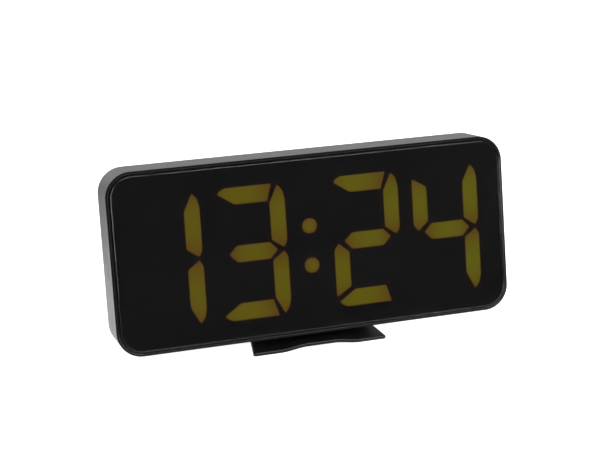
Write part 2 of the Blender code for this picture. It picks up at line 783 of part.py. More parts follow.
def make_contacts(case, paints):
    """Flat contact plates: two end terminals and two links between neighbouring cells."""
    top, middle, bottom = cell_heights()
    left = BAY_LOW[0] + GAP
    right = BAY_HIGH[0] - GAP - CONTACT_THICK
    half = CONTACT_HALF
    plates = (
        ("terminal_negative", left, top - half, top + half),
        ("contact_link_left", left, bottom - half, middle + half),
        ("contact_link_right", right, middle - half, top + half),
        ("terminal_positive", right, bottom - half, bottom + half),
    )
    for name, x, low, high in plates:
        plate = box(
            name,
            (x, CELL_DEPTH - half, low),
            (x + CONTACT_THICK, CELL_DEPTH + half, high),
        )
        add_part(plate, case, paints["contact_nickel"])


def make_wires(case, paints):
    """Leads from the two end terminals to the control board."""
    top, _, bottom = cell_heights()
    below = BAY_LOW[1] - BAY_WALL - WIRE_RADIUS - 0.55
    depth = WIRE_EXIT_DEPTH
    routes = {
        "battery_wire_positive": [
            (BAY_HIGH[0], depth, bottom),
            (BAY_HIGH[0] + 4.0, depth, bottom),
            (-2.0, 9.2, bottom + 1.0),
            (2.0, 8.2, bottom + 2.5),
            (6.5, 7.7, bottom + 4.0),
            (9.5, 7.7, bottom + 5.5),
            (11.0, 8.9, bottom + 6.0),
        ],
        "battery_wire_negative": [
            (BAY_LOW[0], depth, top),
            (-66.5, 9.8, top),
            (-68.4, 10.4, top - 3.0),
            (-68.6, 11.0, 38.0),
            (-68.4, 11.0, 22.0),
            (-67.0, 11.0, 15.0),
            (-63.0, 11.0, below),
            (-48.0, 11.0, below),
            (-24.0, 11.0, below),
            (-6.0, 11.0, below),
            (0.0, 10.4, below + 0.2),
            (3.5, 8.6, below + 1.2),
            (8.0, 7.7, below + 2.5),
            (11.5, 7.7, below + 3.5),
            (13.0, 8.9, below + 4.0),
        ],
    }
    for name, route in routes.items():
        data = bpy.data.curves.new(name, "CURVE")
        data.dimensions = "3D"
        data.bevel_depth = WIRE_RADIUS * MM
        data.bevel_resolution = 1
        data.use_fill_caps = True
        points = smooth_route(route)
        spline = data.splines.new("POLY")
        spline.points.add(len(points) - 1)
        for point, place in zip(spline.points, points):
            point.co = (*(place * MM), 1.0)
        wire = bpy.data.objects.new(name, data)
        add_part(wire, case, paints[name])


def smooth_route(route, steps=3):
    """Points along a Catmull-Rom curve through the route."""
    knots = [Vector(point) for point in route]
    knots = [2 * knots[0] - knots[1], *knots, 2 * knots[-1] - knots[-2]]
    points = []
    for before, start, end, after in zip(knots, knots[1:], knots[2:], knots[3:]):
        for step in range(steps):
            t = step / steps
            points.append(
                0.5
                * (
                    2 * start
                    + (end - before) * t
                    + (2 * before - 5 * start + 4 * end - after) * t**2
                    + (3 * start - before - 3 * end + after) * t**3
                )
            )
    points.append(knots[-2])
    return points


# ---------------------------------------------------------------- electronics and controls


def make_main_board(case, paints):
    """Control board with its chip, crystal, capacitor, header, sounder and power inlet."""
    low, high = MAIN_BOARD_LOW, MAIN_BOARD_HIGH
    centre = ((low[0] + high[0]) / 2, (low[1] + high[1]) / 2)
    outline = rounded_outline(high[0] - low[0], high[1] - low[1], 1.0, 2, centre)
    holes = [circle_outline(1.4, spot) for spot in BOARD_SCREW_SPOTS]
    board = slab("main_board", [outline, *holes], MAIN_BOARD_FRONT, MAIN_BOARD_BACK)
    add_part(board, case, paints["board_green"])

    header = box("board_header", (14.0, LED_BOARD_BACK + GAP, 41.0), (34.0, MAIN_BOARD_FRONT - GAP, 44.0))
    add_part(header, case, paints["socket_black"])

    chip = box("clock_chip", (37.0, PARTS_FRONT + 0.2, 29.0), (47.0, PARTS_FRONT + 1.8, 39.0))
    round_edges(chip, 0.25, 1)
    legs = box("chip_legs", (35.8, PARTS_FRONT, 27.8), (48.2, PARTS_FRONT + 0.5, 40.2))
    combine(chip, "UNION", add_tool(legs, case))
    add_part(chip, case, paints["socket_black"])

    crystal_y = PARTS_FRONT + 1.3
    crystal = rod("quartz_crystal", 1.3, (51.0, crystal_y, 36.0), (51.0, crystal_y, 30.0))
    round_edges(crystal, 0.3, 2)
    add_part(crystal, case, paints["contact_nickel"])

    can = [(0.0, 7.2), (2.1, 7.2), (2.5, 6.8), (2.5, 1.0), (2.2, 0.7), (2.5, 0.4), (2.5, 0.0), (0.0, 0.0)]
    capacitor = turned("capacitor", can, (51.0, PARTS_FRONT, 20.0), (0.0, 1.0, 0.0), 16)
    add_part(smooth(capacitor), case, paints["socket_black"])

    drum = [(0.0, 3.6), (1.0, 3.6), (1.0, 5.0), (6.6, 5.0), (7.0, 4.6), (7.0, 0.0), (0.0, 0.0)]
    x, z = BUZZER_SPOT
    buzzer = turned("piezo_buzzer", drum, (x, PARTS_FRONT, z), (0.0, 1.0, 0.0), 16)
    add_part(smooth(buzzer), case, paints["socket_black"])

    x, z = INLET_SPOT
    inlet = box("power_inlet", (x - 4.5, PARTS_FRONT, z - 4.5), (x + 4.5, BACK_INNER - GAP, z + 4.5))
    round_edges(inlet, 0.4, 1)
    ring = [
        circle_outline(PLUG_RADIUS, INLET_SPOT, 20),
        circle_outline(INLET_PIN_RADIUS, INLET_SPOT, 10),
    ]
    socket = slab("inlet_socket", ring, PARTS_FRONT + 0.8, CASE_DEPTH)
    combine(inlet, "DIFFERENCE", add_tool(socket, case))
    add_part(inlet, case, paints["socket_black"])


def make_buttons(case, paints):
    """Five sprung caps, each over its switch; the caps' origins are on their axes."""
    width, height = BUTTON_SIZE
    for index, label in enumerate(BUTTON_NAMES):
        x = button_x(index)
        z = BUTTON_HEIGHT
        cap = slab("button_" + label, [pill_outline(width, height)], -3.2, BUTTON_PROUD)
        cap.data.transform(cap.matrix_basis)
        cap.rotation_euler = (0.0, 0.0, 0.0)
        cap.location = Vector((x, CASE_DEPTH, z)) * MM
        round_edges(cap, 0.5, 1)
        smooth(cap)
        flange_back = BACK_INNER - GAP
        flange = slab(
            "button_flange_" + label,
            [pill_outline(width + 2.0, height + 2.0, (x, z))],
            flange_back - 1.3,
            flange_back,
        )
        combine(cap, "UNION", add_tool(flange, case))
        stem = rod("button_stem_" + label, 1.6, (x, PLUNGER_BACK + GAP, z), (x, flange_back - 0.5, z))
        combine(cap, "UNION", add_tool(stem, case))
        add_part(cap, case, paints["button_black"])

        half = TACT_SIZE / 2
        switch = box(
            "tact_switch_" + label,
            (x - half, PARTS_FRONT, z - half),
            (x + half, TACT_BACK, z + half),
        )
        round_edges(switch, 0.3, 1)
        bore = rod("tact_bore_" + label, 2.0, (x, TACT_BACK - 1.8, z), (x, TACT_BACK + 1.0, z))
        combine(switch, "DIFFERENCE", add_tool(bore, case))
        add_part(switch, case, paints["contact_nickel"])

        plunger = rod("plunger_" + label, 1.7, (x, TACT_BACK - 1.0, z), (x, PLUNGER_BACK, z))
        add_part(plunger, case, paints["socket_black"])


def make_alarm_switch(case, paints):
    """Slide switch on the board and the knob that moves along the slot."""
    x, z = KNOB_SPOT
    centre = x + KNOB_TRAVEL / 2
    body = box("slide_switch", (centre - 4.5, PARTS_FRONT, z - 2.0), (centre + 4.5, TACT_BACK, z + 2.0))
    track = box(
        "slide_track",
        (x - 1.0 - GAP, TACT_BACK - 1.5, z - 0.8 - GAP),
        (x + KNOB_TRAVEL + 1.0 + GAP, TACT_BACK + 1.0, z + 0.8 + GAP),
    )
    combine(body, "DIFFERENCE", add_tool(track, case))
    add_part(body, case, paints["contact_nickel"])

    half_x, half_z = KNOB_SIZE[0] / 2, KNOB_SIZE[1] / 2
    knob_low = (x - half_x, BACK_INNER - 1.2, z - half_z)
    knob = box("alarm_knob", knob_low, (x + half_x, CASE_DEPTH + KNOB_PROUD, z + half_z))
    round_edges(knob, 0.3, 1)
    flange_back = BACK_INNER - GAP
    flange = box("knob_flange", (x - 5.2, flange_back - 1.2, z - 2.4), (x + 5.2, flange_back, z + 2.4))
    combine(knob, "UNION", add_tool(flange, case))
    lever = box("knob_lever", (x - 1.0, TACT_BACK - 1.0, z - 0.8), (x + 1.0, flange_back - 0.5, z + 0.8))
    combine(knob, "UNION", add_tool(lever, case))
    add_part(knob, case, paints["button_black"])


# ---------------------------------------------------------------- screws and foot


def make_screw(name, head_radius, shank_radius, length, base, direction):
    """Pan-head screw; base is under the head, direction is from tip to head."""
    head = 1.5
    profile = [
        (0.0, head),
        (head_radius * 0.55, head),
        (head_radius * 0.9, head * 0.7),
        (head_radius, head * 0.3),
        (head_radius, 0.0),
        (shank_radius, 0.0),
        (shank_radius, -length + 0.8),
        (0.0, -length),
    ]
    return smooth(turned(name, profile, base, direction, SMALL_STEPS))


def cut_cross(screw, base, case):
    """Cuts a cross recess into the head of a screw that points along the case's depth."""
    for wide, tall in ((1.3, 0.22), (0.22, 1.3)):
        low = (base[0] - wide, base[1] + 0.8, base[2] - tall)
        high = (base[0] + wide, base[1] + 2.0, base[2] + tall)
        blade = box(screw.name + "_blade", low, high)
        combine(screw, "DIFFERENCE", add_tool(blade, case))


def make_screws(case, paints):
    """Four case screws from behind, two board screws and the foot's screw."""
    steel = paints["screw_steel"]
    for index, (x, z) in enumerate(SCREW_SPOTS):
        base = (x, CASE_SCREW_SEAT + 0.1, z)
        length = CASE_SCREW_SEAT - CASE_SCREW_TIP
        name = "case_screw_" + str(index + 1)
        screw = make_screw(name, CASE_SCREW_HEAD, 1.2, length, base, (0.0, 1.0, 0.0))
        cut_cross(screw, base, case)
        add_part(screw, case, steel)
    for index, (x, z) in enumerate(BOARD_SCREW_SPOTS):
        base = (x, MAIN_BOARD_FRONT - GAP, z)
        name = "board_screw_" + str(index + 1)
        add_part(make_screw(name, 1.9, 0.8, 5.0, base, (0.0, -1.0, 0.0)), case, steel)
    base = (0.0, (NECK_FRONT + NECK_BACK) / 2, 0.2)
    screw = make_screw("foot_screw", FOOT_SCREW_HEAD, 1.3, 10.3, base, (0.0, 0.0, -1.0))
    add_part(screw, case, steel)


def crest_height(x, s):
    """Height of the foot's underside above the table at x across and s back from the front."""
    side = smoothstep((abs(x) - CREST_HALF) / CREST_SLOPE)
    fade = smoothstep((s - CREST_END[0]) / (CREST_END[1] - CREST_END[0]))
    return FOOT_RISE * (1.0 - side) * (1.0 - fade)


def smoothstep(t):
    """Eased step from 0 to 1."""
    t = min(1.0, max(0.0, t))
    return t * t * (3.0 - 2.0 * t)


def foot_outline():
    """The plate seen from above: wider in front, with small front and large rear corners."""
    front = FOOT_FRONT_WIDTH / 2
    back = front - FOOT_DEPTH * math.tan(FOOT_TAPER)
    corners = (
        ((-front, 0.0), 1.2),
        ((front, 0.0), 1.2),
        ((back, FOOT_DEPTH), 7.0),
        ((-back, FOOT_DEPTH), 7.0),
    )
    points = []
    for index, (corner, radius) in enumerate(corners):
        here = Vector(corner)
        before = (Vector(corners[index - 1][0]) - here).normalized()
        after = (Vector(corners[(index + 1) % 4][0]) - here).normalized()
        half = before.angle(after) / 2
        reach = radius / math.tan(half)
        centre = here + (before + after).normalized() * (radius / math.sin(half))
        start = here + before * reach - centre
        turn = math.pi - 2 * half
        steps = 6
        for step in range(steps + 1):
            angle = turn * step / steps
            arm = Vector(
                (
                    start.x * math.cos(angle) - start.y * math.sin(angle),
                    start.x * math.sin(angle) + start.y * math.cos(angle),
                )
            )
            points.append(tuple(centre + arm))
    return points


def foot_stations():
    """Where the plate's surface is sampled, across and front to back."""
    slope_steps = 8
    right = [CREST_HALF + CREST_SLOPE * step / slope_steps for step in range(slope_steps + 1)]
    right.append(FOOT_FRONT_WIDTH / 2 + 2.0)
    across = [-x for x in reversed(right)] + right
    fade_steps = 6
    start, end = CREST_END
    along = [-2.0] + [start + (end - start) * step / fade_steps for step in range(fade_steps + 1)]
    along.append(FOOT_DEPTH + 2.0)
    return across, along


def make_foot(case, paints):
    """Thin plate with a raised channel at the front middle and a neck that plugs into the case."""
    across, along = foot_stations()
    edit = bmesh.new()
    bmesh.ops.create_grid(
        edit, x_segments=len(across) - 1, y_segments=len(along) - 1, size=0.5
    )
    for vertex in edit.verts:
        x = across[round((vertex.co.x + 0.5) * (len(across) - 1))]
        s = along[round((vertex.co.y + 0.5) * (len(along) - 1))]
        vertex.co = Vector((x, s, crest_height(x, s))) * MM
    foot = mesh_object("foot", edit)
    foot.location = Vector((0.0, FRONT_EDGE_Y - FOOT_AHEAD, 0.0)) * MM
    plate = foot.modifiers.new("plate", "SOLIDIFY")
    plate.thickness = FOOT_THICK * MM
    plate.offset = 1.0

    trim = curve_object("foot_trim", [foot_outline()])
    trim.data.fill_mode = "BOTH"
    trim.data.extrude = 10.0 * MM
    trim = curve_to_mesh(trim)
    trim.location = Vector((0.0, FRONT_EDGE_Y - FOOT_AHEAD, 0.0)) * MM
    combine(foot, "INTERSECT", add_tool(trim, None))

    root = box(
        "neck_root",
        (-NECK_HALF, FRONT_EDGE_Y + 7.6, FOOT_RISE + 0.4),
        (NECK_HALF, FRONT_EDGE_Y + 12.8, FOOT_RISE + FOOT_THICK + 0.4),
    )
    combine(foot, "UNION", add_tool(root, None))
    neck = box("foot_neck", (-NECK_HALF, NECK_FRONT, -1.9), (NECK_HALF, NECK_BACK, NECK_TOP))
    combine(foot, "UNION", add_tool(neck, case))
    screw_y = (NECK_FRONT + NECK_BACK) / 2
    bore = rod("neck_bore", FOOT_SCREW_BORE, (0.0, screw_y, -8.0), (0.0, screw_y, NECK_TOP + OVERCUT))
    combine(foot, "DIFFERENCE", add_tool(bore, case))
    seat = rod("neck_seat", FOOT_SCREW_HEAD + 0.35, (0.0, screw_y, -8.0), (0.0, screw_y, 0.5), 16)
    combine(foot, "DIFFERENCE", add_tool(seat, case))
    add_part(foot, None, paints["foot_black"])


def main():
    """Builds the whole clock."""
    start_scene()
    case = make_case_frame()
    paints = {
        "housing_charcoal": make_material("housing_charcoal", (0.07, 0.07, 0.073), 0.45),
        "frame_black": make_material("frame_black", (0.02, 0.02, 0.021), 0.35),
        "smoked_lens": make_material("smoked_lens", (0.010, 0.010, 0.011), 0.05),
        "mask_black": make_material("mask_black", (0.008, 0.008, 0.008), 0.6),
        "diffuser_white": make_material("diffuser_white", (0.8, 0.78, 0.7), 0.5),
        "reflector_white": make_material("reflector_white", (0.85, 0.85, 0.83), 0.5),
        "board_green": make_material("board_green", (0.02, 0.13, 0.05), 0.45),
        "socket_black": make_material("socket_black", (0.015, 0.015, 0.016), 0.45),
        "button_black": make_material("button_black", (0.02, 0.02, 0.021), 0.4),
        "contact_nickel": make_material("contact_nickel", (0.62, 0.6, 0.56), 0.3, 1.0),
        "cell_wrap": make_material("cell_wrap", (0.08, 0.2, 0.1), 0.3),
        "screw_steel": make_material("screw_steel", (0.35, 0.35, 0.36), 0.35, 1.0),
        "foot_black": make_material("foot_black", (0.008, 0.008, 0.009), 0.1),
        "battery_wire_positive": make_material("wire_red", (0.5, 0.02, 0.02), 0.45),
        "battery_wire_negative": make_material("wire_black", (0.015, 0.015, 0.015), 0.45),
    }
    make_front(case, paints)
    make_housing(case, paints)
    make_battery_door(case, paints)
    make_cells(case, paints)
    make_contacts(case, paints)
    make_wires(case, paints)
    make_main_board(case, paints)
    make_buttons(case, paints)
    make_alarm_switch(case, paints)
    make_screws(case, paints)
    make_foot(case, paints)


main()
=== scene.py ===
"""Looks of the desk alarm clock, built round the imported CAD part.

Sizes are in millimetres in the case's own upright frame, as in the CAD: X across, Y from the front rim
to the back, Z up from the bottom front edge. case_point() leans that frame back and gives metres.
"""

import json
import math

import bmesh
import bpy
import numpy as np
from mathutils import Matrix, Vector


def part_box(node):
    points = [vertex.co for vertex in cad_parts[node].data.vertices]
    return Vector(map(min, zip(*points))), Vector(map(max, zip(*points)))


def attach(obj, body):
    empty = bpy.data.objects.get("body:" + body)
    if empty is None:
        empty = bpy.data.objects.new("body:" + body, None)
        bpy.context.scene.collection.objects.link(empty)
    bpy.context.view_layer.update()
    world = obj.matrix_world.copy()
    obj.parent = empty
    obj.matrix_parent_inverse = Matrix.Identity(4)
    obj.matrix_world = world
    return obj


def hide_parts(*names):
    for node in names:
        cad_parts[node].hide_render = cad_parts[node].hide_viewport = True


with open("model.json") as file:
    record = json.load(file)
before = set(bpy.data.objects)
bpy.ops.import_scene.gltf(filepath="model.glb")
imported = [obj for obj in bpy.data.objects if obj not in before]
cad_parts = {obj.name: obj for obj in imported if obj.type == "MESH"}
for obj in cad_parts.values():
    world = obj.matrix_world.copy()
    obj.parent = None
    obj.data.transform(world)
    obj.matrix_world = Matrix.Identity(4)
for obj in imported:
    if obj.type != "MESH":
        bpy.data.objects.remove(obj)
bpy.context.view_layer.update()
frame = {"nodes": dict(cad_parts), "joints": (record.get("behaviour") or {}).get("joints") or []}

MM = 0.001
JOINTS = {joint["name"]: joint for joint in frame["joints"]}
PRESS_AXIS = JOINTS["button_mode_press"]["axis"]
LEAN = math.atan2(PRESS_AXIS[2], -PRESS_AXIS[1])
FOOT_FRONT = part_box("foot")[0].y / MM
FOOT_AHEAD = 1.0  # how far the foot stands in front of the case's bottom edge
CASE_FRONT = FOOT_FRONT + FOOT_AHEAD

# Case, as in the CAD
WIDTH = 161.0
HEIGHT = 71.2
DEPTH = 20.0
CORNER = 10.0
WALL = 1.8
GAP = 0.3
BACK_INNER = DEPTH - WALL
MIDDLE = (0.0, HEIGHT / 2)
BACK_ROUNDING = 2.0  # 2.5 in the CAD
RIM_FRONT = 0.75
POST_RADIUS = 4.0
POST_FRONT = 8.4
BOSS_RADIUS = 2.8
BOSS_DEPTHS = (0.9, 8.1)

# Lens and frame
LENS_INSET = 1.8
LENS_BEVEL = (0.28, 0.13)  # width, depth
LENS_FRONT = -1.5
LENS_BACK = -0.4
FRAME_INNER = 1.3
LEDGE_INSET = 5.3
LEDGE_BACK = 1.2
SKIRT_INSET = 2.1
SKIRT_THICK = 1.3
SKIRT_BACK = 5.0

# Display
DISPLAY = (-1.8, HEIGHT / 2 - 0.3)
CELL_CENTRES = (-57.1, -23.3, 23.3, 57.0)
COLON_HEIGHTS = (7.7, -8.0)
COLON_RADIUS = 3.1
DIGIT_NUDGE = 0.09
DIGIT_STRETCH = 1.0102
DIGIT_DROP = 0.14
LIT = ("bc", "abcdg", "abdeg", "bcfg")  # 13:24
FILM_HALF = (72.0, 27.0)
FILM_GRID = (289, 109)
FILM_INSET = 0.35  # from the lens's edge
FILM_THICK = 0.1
FILM_GAP = 0.04
FAR_AWAY = 99.0  # from any lit segment
DIGIT_GLOW = 0.155
HALO_REACH = 0.6
HALO_SHARE = 0.08

# Back
SCREWS = tuple((x, z) for x in (-72.0, 72.0) for z in (5.5, HEIGHT - 5.5))
SCREW_SEAT = 17.6
SCREW_WELL = 2.9
CUT_FRONT = 17.0  # where the cutters through the back wall start
BAY_LOW = (-62.0, 16.5)
BAY_HIGH = (-10.0, 51.0)
BAY_FLOOR = 7.3
BAY_WALL = 2.2
DOOR_LEDGE = 0.9
DOOR_THICK = 1.5
DOOR_CENTRE = (BAY_LOW[0] + BAY_HIGH[0]) / 2
HOOK_SPOTS = (DOOR_CENTRE - 15.0, DOOR_CENTRE + 15.0)
HOOK_FRONT = 16.6
TONGUE_HALF = 5.6
TONGUE_LENGTH = 10.0
RIBS = 4
RIB_PITCH = 1.6
RIB_HALF = (3.6, 0.3)
CELL_RADIUS = 5.25
CELL_LENGTH = 44.5
CELL_PITCH = 11.3
CELL_DEPTH = BAY_FLOOR + 0.25 + CELL_RADIUS
CELL_STEPS = 48
CELL_ROOM = 1.0 + GAP  # between a cell's tip and the bay's end
CELL_HEIGHTS = tuple((BAY_LOW[1] + BAY_HIGH[1]) / 2 + CELL_PITCH * row for row in (1, 0, -1))
CONTACT_HALF = 4.2
CONTACT_THICK = 0.4
BUTTONS = ("mode", "up", "down", "alarm", "light")
BUTTON_SIZE = (9.0, 5.0)
BUTTON_HEIGHT = 52.0
BUTTON_FIRST = 14.0
BUTTON_PITCH = 12.0
BUTTON_PROUD = 0.8
PRINT_DEPTHS = (-0.02, 0.03)  # about the face that is printed on
KNOB = (60.5, 38.0)
KNOB_SIZE = (4.0, 2.4)
KNOB_TRAVEL = 3.0
KNOB_PROUD = 0.7
BUZZER = (22.0, 28.0)
SOUND_HOLE = 0.9
SOUND_RINGS = ((0.0, 1), (3.4, 6), (6.8, 12))  # radius, holes
INLET = (62.0, 24.0)
INLET_HOLE = 3.3
INLET_HALF = 4.5

# Foot
FOOT_WIDTH = 55.3
FOOT_DEPTH = 47.0
FOOT_TAPER = math.radians(9.4)
FOOT_THICK = 1.4
FOOT_RISE = 1.27
CREST_HALF = 5.5
CREST_SLOPE = 11.0
CREST_END = (13.5, 20.5)
FRONT_CORNER = 1.0
BACK_CORNER = 7.0
FOOT_STEPS = 12  # round each corner
FOOT_ROUND = (0.2, 0.75)  # bottom, top
NECK = (12.0, 8.0, 13.6, -1.9, 4.7)  # half width, front, back, bottom, top
NECK_MIDDLE = (NECK[1] + NECK[2]) / 2

# Studio, in metres and watts; the camera's lens and sensor are in millimetres
CAMERA_SPOT = (-0.16076, -0.52032, 0.26337)
CAMERA_ANGLES = (-17.016, 19.686)  # azimuth, elevation
CAMERA_LENS = 88.10
CAMERA_SENSOR = 36.0
CAMERA_SHIFT = -0.0995
WORLD_FRONT = 0.03
WORLD_BACK = 0.62
FLOOR_HALF = 6.0
FLOOR_GLOW = 0.9
FLOOR_LIGHT = 0.35
FLOOR_DARKEST = 0.1
FLOOR_FADE = (-0.35, -0.12)
# Painted light on the floor for all rays but the camera's: pools of light, and a negative pool that paints a
# shadow under the clock
PAINTED_FLOOR_POOLS = (  # centre, reach, brightness
    ((-0.09, 0.03, 0.0), (0.10, 0.09, 1.0), 1.0),
    # painted pool of light that lights the case's underside beside the foot
    ((0.05, -0.01, 0.0), (0.025, 0.02, 1.0), 3.2),
    # painted shadow under the clock
    ((0.0, 0.0, 0.0), (0.05, 0.03, 1.0), -0.6),
)
LIGHTS = (  # name, spot, target, size, watts
    ("overhead", (0.0, 0.1, 1.3), (0.0, 0.0, 0.0), (1.6, 1.6), 1.5),
    ("back_left", (-0.9, 1.2, 0.9), (0.0, 0.0, 0.03), (0.7, 0.7), 6.0),
    ("front_top", (0.2, -0.9, 1.0), (0.0, 0.0, 0.03), (1.4, 0.5), 6.8),
    ("front_left", (-0.9, -1.0, 0.35), (0.0, 0.0, 0.03), (0.5, 0.8), 6.0),
    ("front_right", (0.95, -0.9, 0.35), (0.0, 0.0, 0.03), (0.5, 0.8), 5.0),
)


def find_lift():
    """Height of the case's bottom front edge, from the door's hinge, which the CAD puts at a known spot."""
    hinge = JOINTS["battery_door_hinge"]["pos_m"]
    low_edge = BAY_LOW[1] - DOOR_LEDGE + GAP
    return hinge[2] / MM + DEPTH * math.sin(LEAN) - low_edge * math.cos(LEAN)


LIFT = find_lift()


def case_point(x, y, z):
    """A point of the case's frame, in the world."""
    across = CASE_FRONT + y * math.cos(LEAN) + z * math.sin(LEAN)
    up = LIFT - y * math.sin(LEAN) + z * math.cos(LEAN)
    return Vector((x, across, up)) * MM


def world_point(x, y, z):
    """A point given in the world's own axes."""
    return Vector((x, y, z)) * MM


# ---- outlines


def rounded(width, height, radius, centre=(0.0, 0.0), steps=16):
    """Rectangle with round corners, anticlockwise."""
    points = []
    for turn, (side, end) in enumerate(((1, 1), (-1, 1), (-1, -1), (1, -1))):
        corner_x = centre[0] + side * (width / 2 - radius)
        corner_z = centre[1] + end * (height / 2 - radius)
        for step in range(steps + 1):
            angle = math.pi / 2 * (turn + step / steps)
            points.append((corner_x + radius * math.cos(angle), corner_z + radius * math.sin(angle)))
    return points


def case_outline(inset, steps=16):
    """The case's outline moved inwards."""
    return rounded(WIDTH - 2 * inset, HEIGHT - 2 * inset, CORNER - inset, MIDDLE, steps)


def circle(radius, centre=(0.0, 0.0), steps=24):
    """Points of a circle."""
    angles = [2 * math.pi * step / steps for step in range(steps)]
    return [(centre[0] + radius * math.cos(a), centre[1] + radius * math.sin(a)) for a in angles]


def level(outline, y, edge=0.0):
    """An outline at one depth, with how strongly that ring counts as an edge."""
    return [(x, y, z) for x, z in outline], edge


# ---- mesh building


def finish_mesh(obj, angle):
    """Smooth shading with true flats and crisp edges."""
    obj.data.shade_smooth()
    obj.data.set_sharp_from_angle(angle=math.radians(angle))
    weighted = obj.modifiers.new("normals", "WEIGHTED_NORMAL")
    weighted.keep_sharp = True
    weighted.weight = 80


def link(obj):
    """Puts an object in the scene."""
    bpy.context.scene.collection.objects.link(obj)
    return obj


def from_edit(name, edit):
    """Turns an edit mesh into an object in the scene."""
    mesh = bpy.data.meshes.new(name)
    edit.to_mesh(mesh)
    edit.free()
    return link(bpy.data.objects.new(name, mesh))


def bridge(edit, first, second):
    """Faces between two loops of equal length."""
    for index in range(len(first)):
        after = (index + 1) % len(first)
        edit.faces.new((first[index], first[after], second[after], second[index]))


def loft(name, rings, closed=False, point=case_point):
    """Solid through rings of equal length; open ends are capped unless the rings close on themselves."""
    edit = bmesh.new()
    worn = edit.verts.layers.float.new("edge")
    rows = []
    for ring, edge in rings:
        row = [edit.verts.new(point(*spot)) for spot in ring]
        for vertex in row:
            vertex[worn] = edge
        rows.append(row)
    pairs = list(zip(rows, rows[1:]))
    if closed:
        pairs.append((rows[-1], rows[0]))
    for first, second in pairs:
        bridge(edit, first, second)
    if not closed:
        edit.faces.new(rows[0][::-1])
        edit.faces.new(rows[-1])
    bmesh.ops.recalc_face_normals(edit, faces=edit.faces)
    return from_edit(name, edit)


def straight(name, outline, front, back):
    """Solid of one outline between two depths."""
    return loft(name, [level(outline, front), level(outline, back)])


def quarter(radius, steps):
    """Inset and distance from the face along a rounded edge, from the side to the face."""
    angles = [math.pi / 2 * step / steps for step in range(steps + 1)]
    return [(radius * (1 - math.cos(angle)), radius * (1 - math.sin(angle))) for angle in angles]


def plate_rings(grown, front, back, round_front=0.0, round_back=0.0, steps=4, margin=0.5):
    """Rings of a plate whose outline is grown(amount), with rounded front and back edges."""
    ends = []
    for face, radius, inwards in ((front, round_front, 1.0), (back, round_back, -1.0)):
        end = []
        if radius:
            end.append(level(grown(0.0), face + inwards * (radius + margin / 2)))
            for inset, below in quarter(radius, steps):
                end.append(level(grown(-inset), face + inwards * below, 1.0))
            end.append(level(grown(-radius - margin), face))
        else:
            end.append(level(grown(0.0), face))
        ends.append(end)
    return ends[0][::-1] + ends[1]


def block(name, low, high, radius=0.3, rounding=(0.0, 0.0), point=case_point):
    """Box with round corners seen from behind and optional rounded front and back edges."""
    centre = ((low[0] + high[0]) / 2, (low[2] + high[2]) / 2)
    grown = grown_rounded(high[0] - low[0], high[2] - low[2], radius, centre, 4)
    margin = min(0.5, radius * 0.4)
    return loft(name, plate_rings(grown, low[1], high[1], *rounding, margin=margin), point=point)


def block_at(name, spot, half, front, back, radius=0.3, rounding=(0.0, 0.0)):
    """Block about a spot, with half its width and height, between two depths."""
    low = (spot[0] - half[0], front, spot[1] - half[1])
    high = (spot[0] + half[0], back, spot[1] + half[1])
    return block(name, low, high, radius, rounding)


def grown_circle(radius, centre, steps=24):
    """A circle's outline as a function of how much it grows."""
    return lambda amount: circle(radius + amount, centre, steps)


def grown_rounded(width, height, radius, centre, steps=8):
    """A rounded rectangle's outline as a function of how much it grows."""
    return lambda amount: rounded(
        width + 2 * amount, height + 2 * amount, max(radius + amount, 0.02), centre, steps
    )


def opening(name, grown, front, chamfer=0.25):
    """Cutter from a depth to beyond the back face, with a chamfered mouth."""
    rings = [
        level(grown(0.0), front),
        level(grown(0.0), DEPTH - chamfer),
        level(grown(chamfer * 2), DEPTH + chamfer),
        level(grown(chamfer * 2), DEPTH + 1.5),
    ]
    return loft(name, rings)


def ring_about(centre, side, other, radius, steps):
    """Points of a circle in space, from one direction towards the other."""
    angles = [2 * math.pi * step / steps for step in range(steps)]
    return [centre + side * (radius * math.cos(a)) + other * (radius * math.sin(a)) for a in angles]


def turned(name, profile, base, direction, steps=32):
    """Solid of revolution: (radius, height) profile from tip to tip about a line from base."""
    axis = Vector(direction).normalized()
    side = axis.orthogonal().normalized()
    other = axis.cross(side)
    edit = bmesh.new()
    rows = []
    for radius, height in profile:
        centre = Vector(base) + axis * height
        spots = ring_about(centre, side, other, radius, steps) if radius else [centre]
        rows.append([edit.verts.new(case_point(*spot)) for spot in spots])
    for first, second in zip(rows, rows[1:]):
        if len(first) == len(second):
            bridge(edit, first, second)
            continue
        for index in range(steps):
            after = (index + 1) % steps
            if len(first) == 1:
                edit.faces.new((first[0], second[after], second[index]))
            else:
                edit.faces.new((first[index], first[after], second[0]))
    bmesh.ops.recalc_face_normals(edit, faces=edit.faces)
    return from_edit(name, edit)


def combine(obj, added=(), cut=()):
    """Joins tools to a piece, cuts others out of it, and removes the tools."""
    for operation, tools in (("UNION", added), ("DIFFERENCE", cut)):
        for tool in tools:
            modifier = obj.modifiers.new(tool.name, "BOOLEAN")
            modifier.operation = operation
            modifier.solver = "EXACT"
            modifier.object = tool
    graph = bpy.context.evaluated_depsgraph_get()
    mesh = bpy.data.meshes.new_from_object(obj.evaluated_get(graph))
    obj.modifiers.clear()
    obj.data = mesh
    for tool in (*added, *cut):
        bpy.data.objects.remove(tool)


def join(name, pieces):
    """One object from several meshes."""
    edit = bmesh.new()
    for piece in pieces:
        edit.from_mesh(piece.data)
        bpy.data.objects.remove(piece)
    return from_edit(name, edit)


def pin_profile(radius, length):
    """Profile of a plain pin, to turn."""
    return [(0.0, 0.0), (radius, 0.0), (radius, length), (0.0, length)]


# ---- materials


def feed(tree, node, inputs):
    """Sets a node's inputs; a value that is a socket is linked."""
    for key, value in inputs.items():
        if isinstance(value, bpy.types.NodeSocket):
            tree.links.new(value, node.inputs[key])
        else:
            node.inputs[key].default_value = value


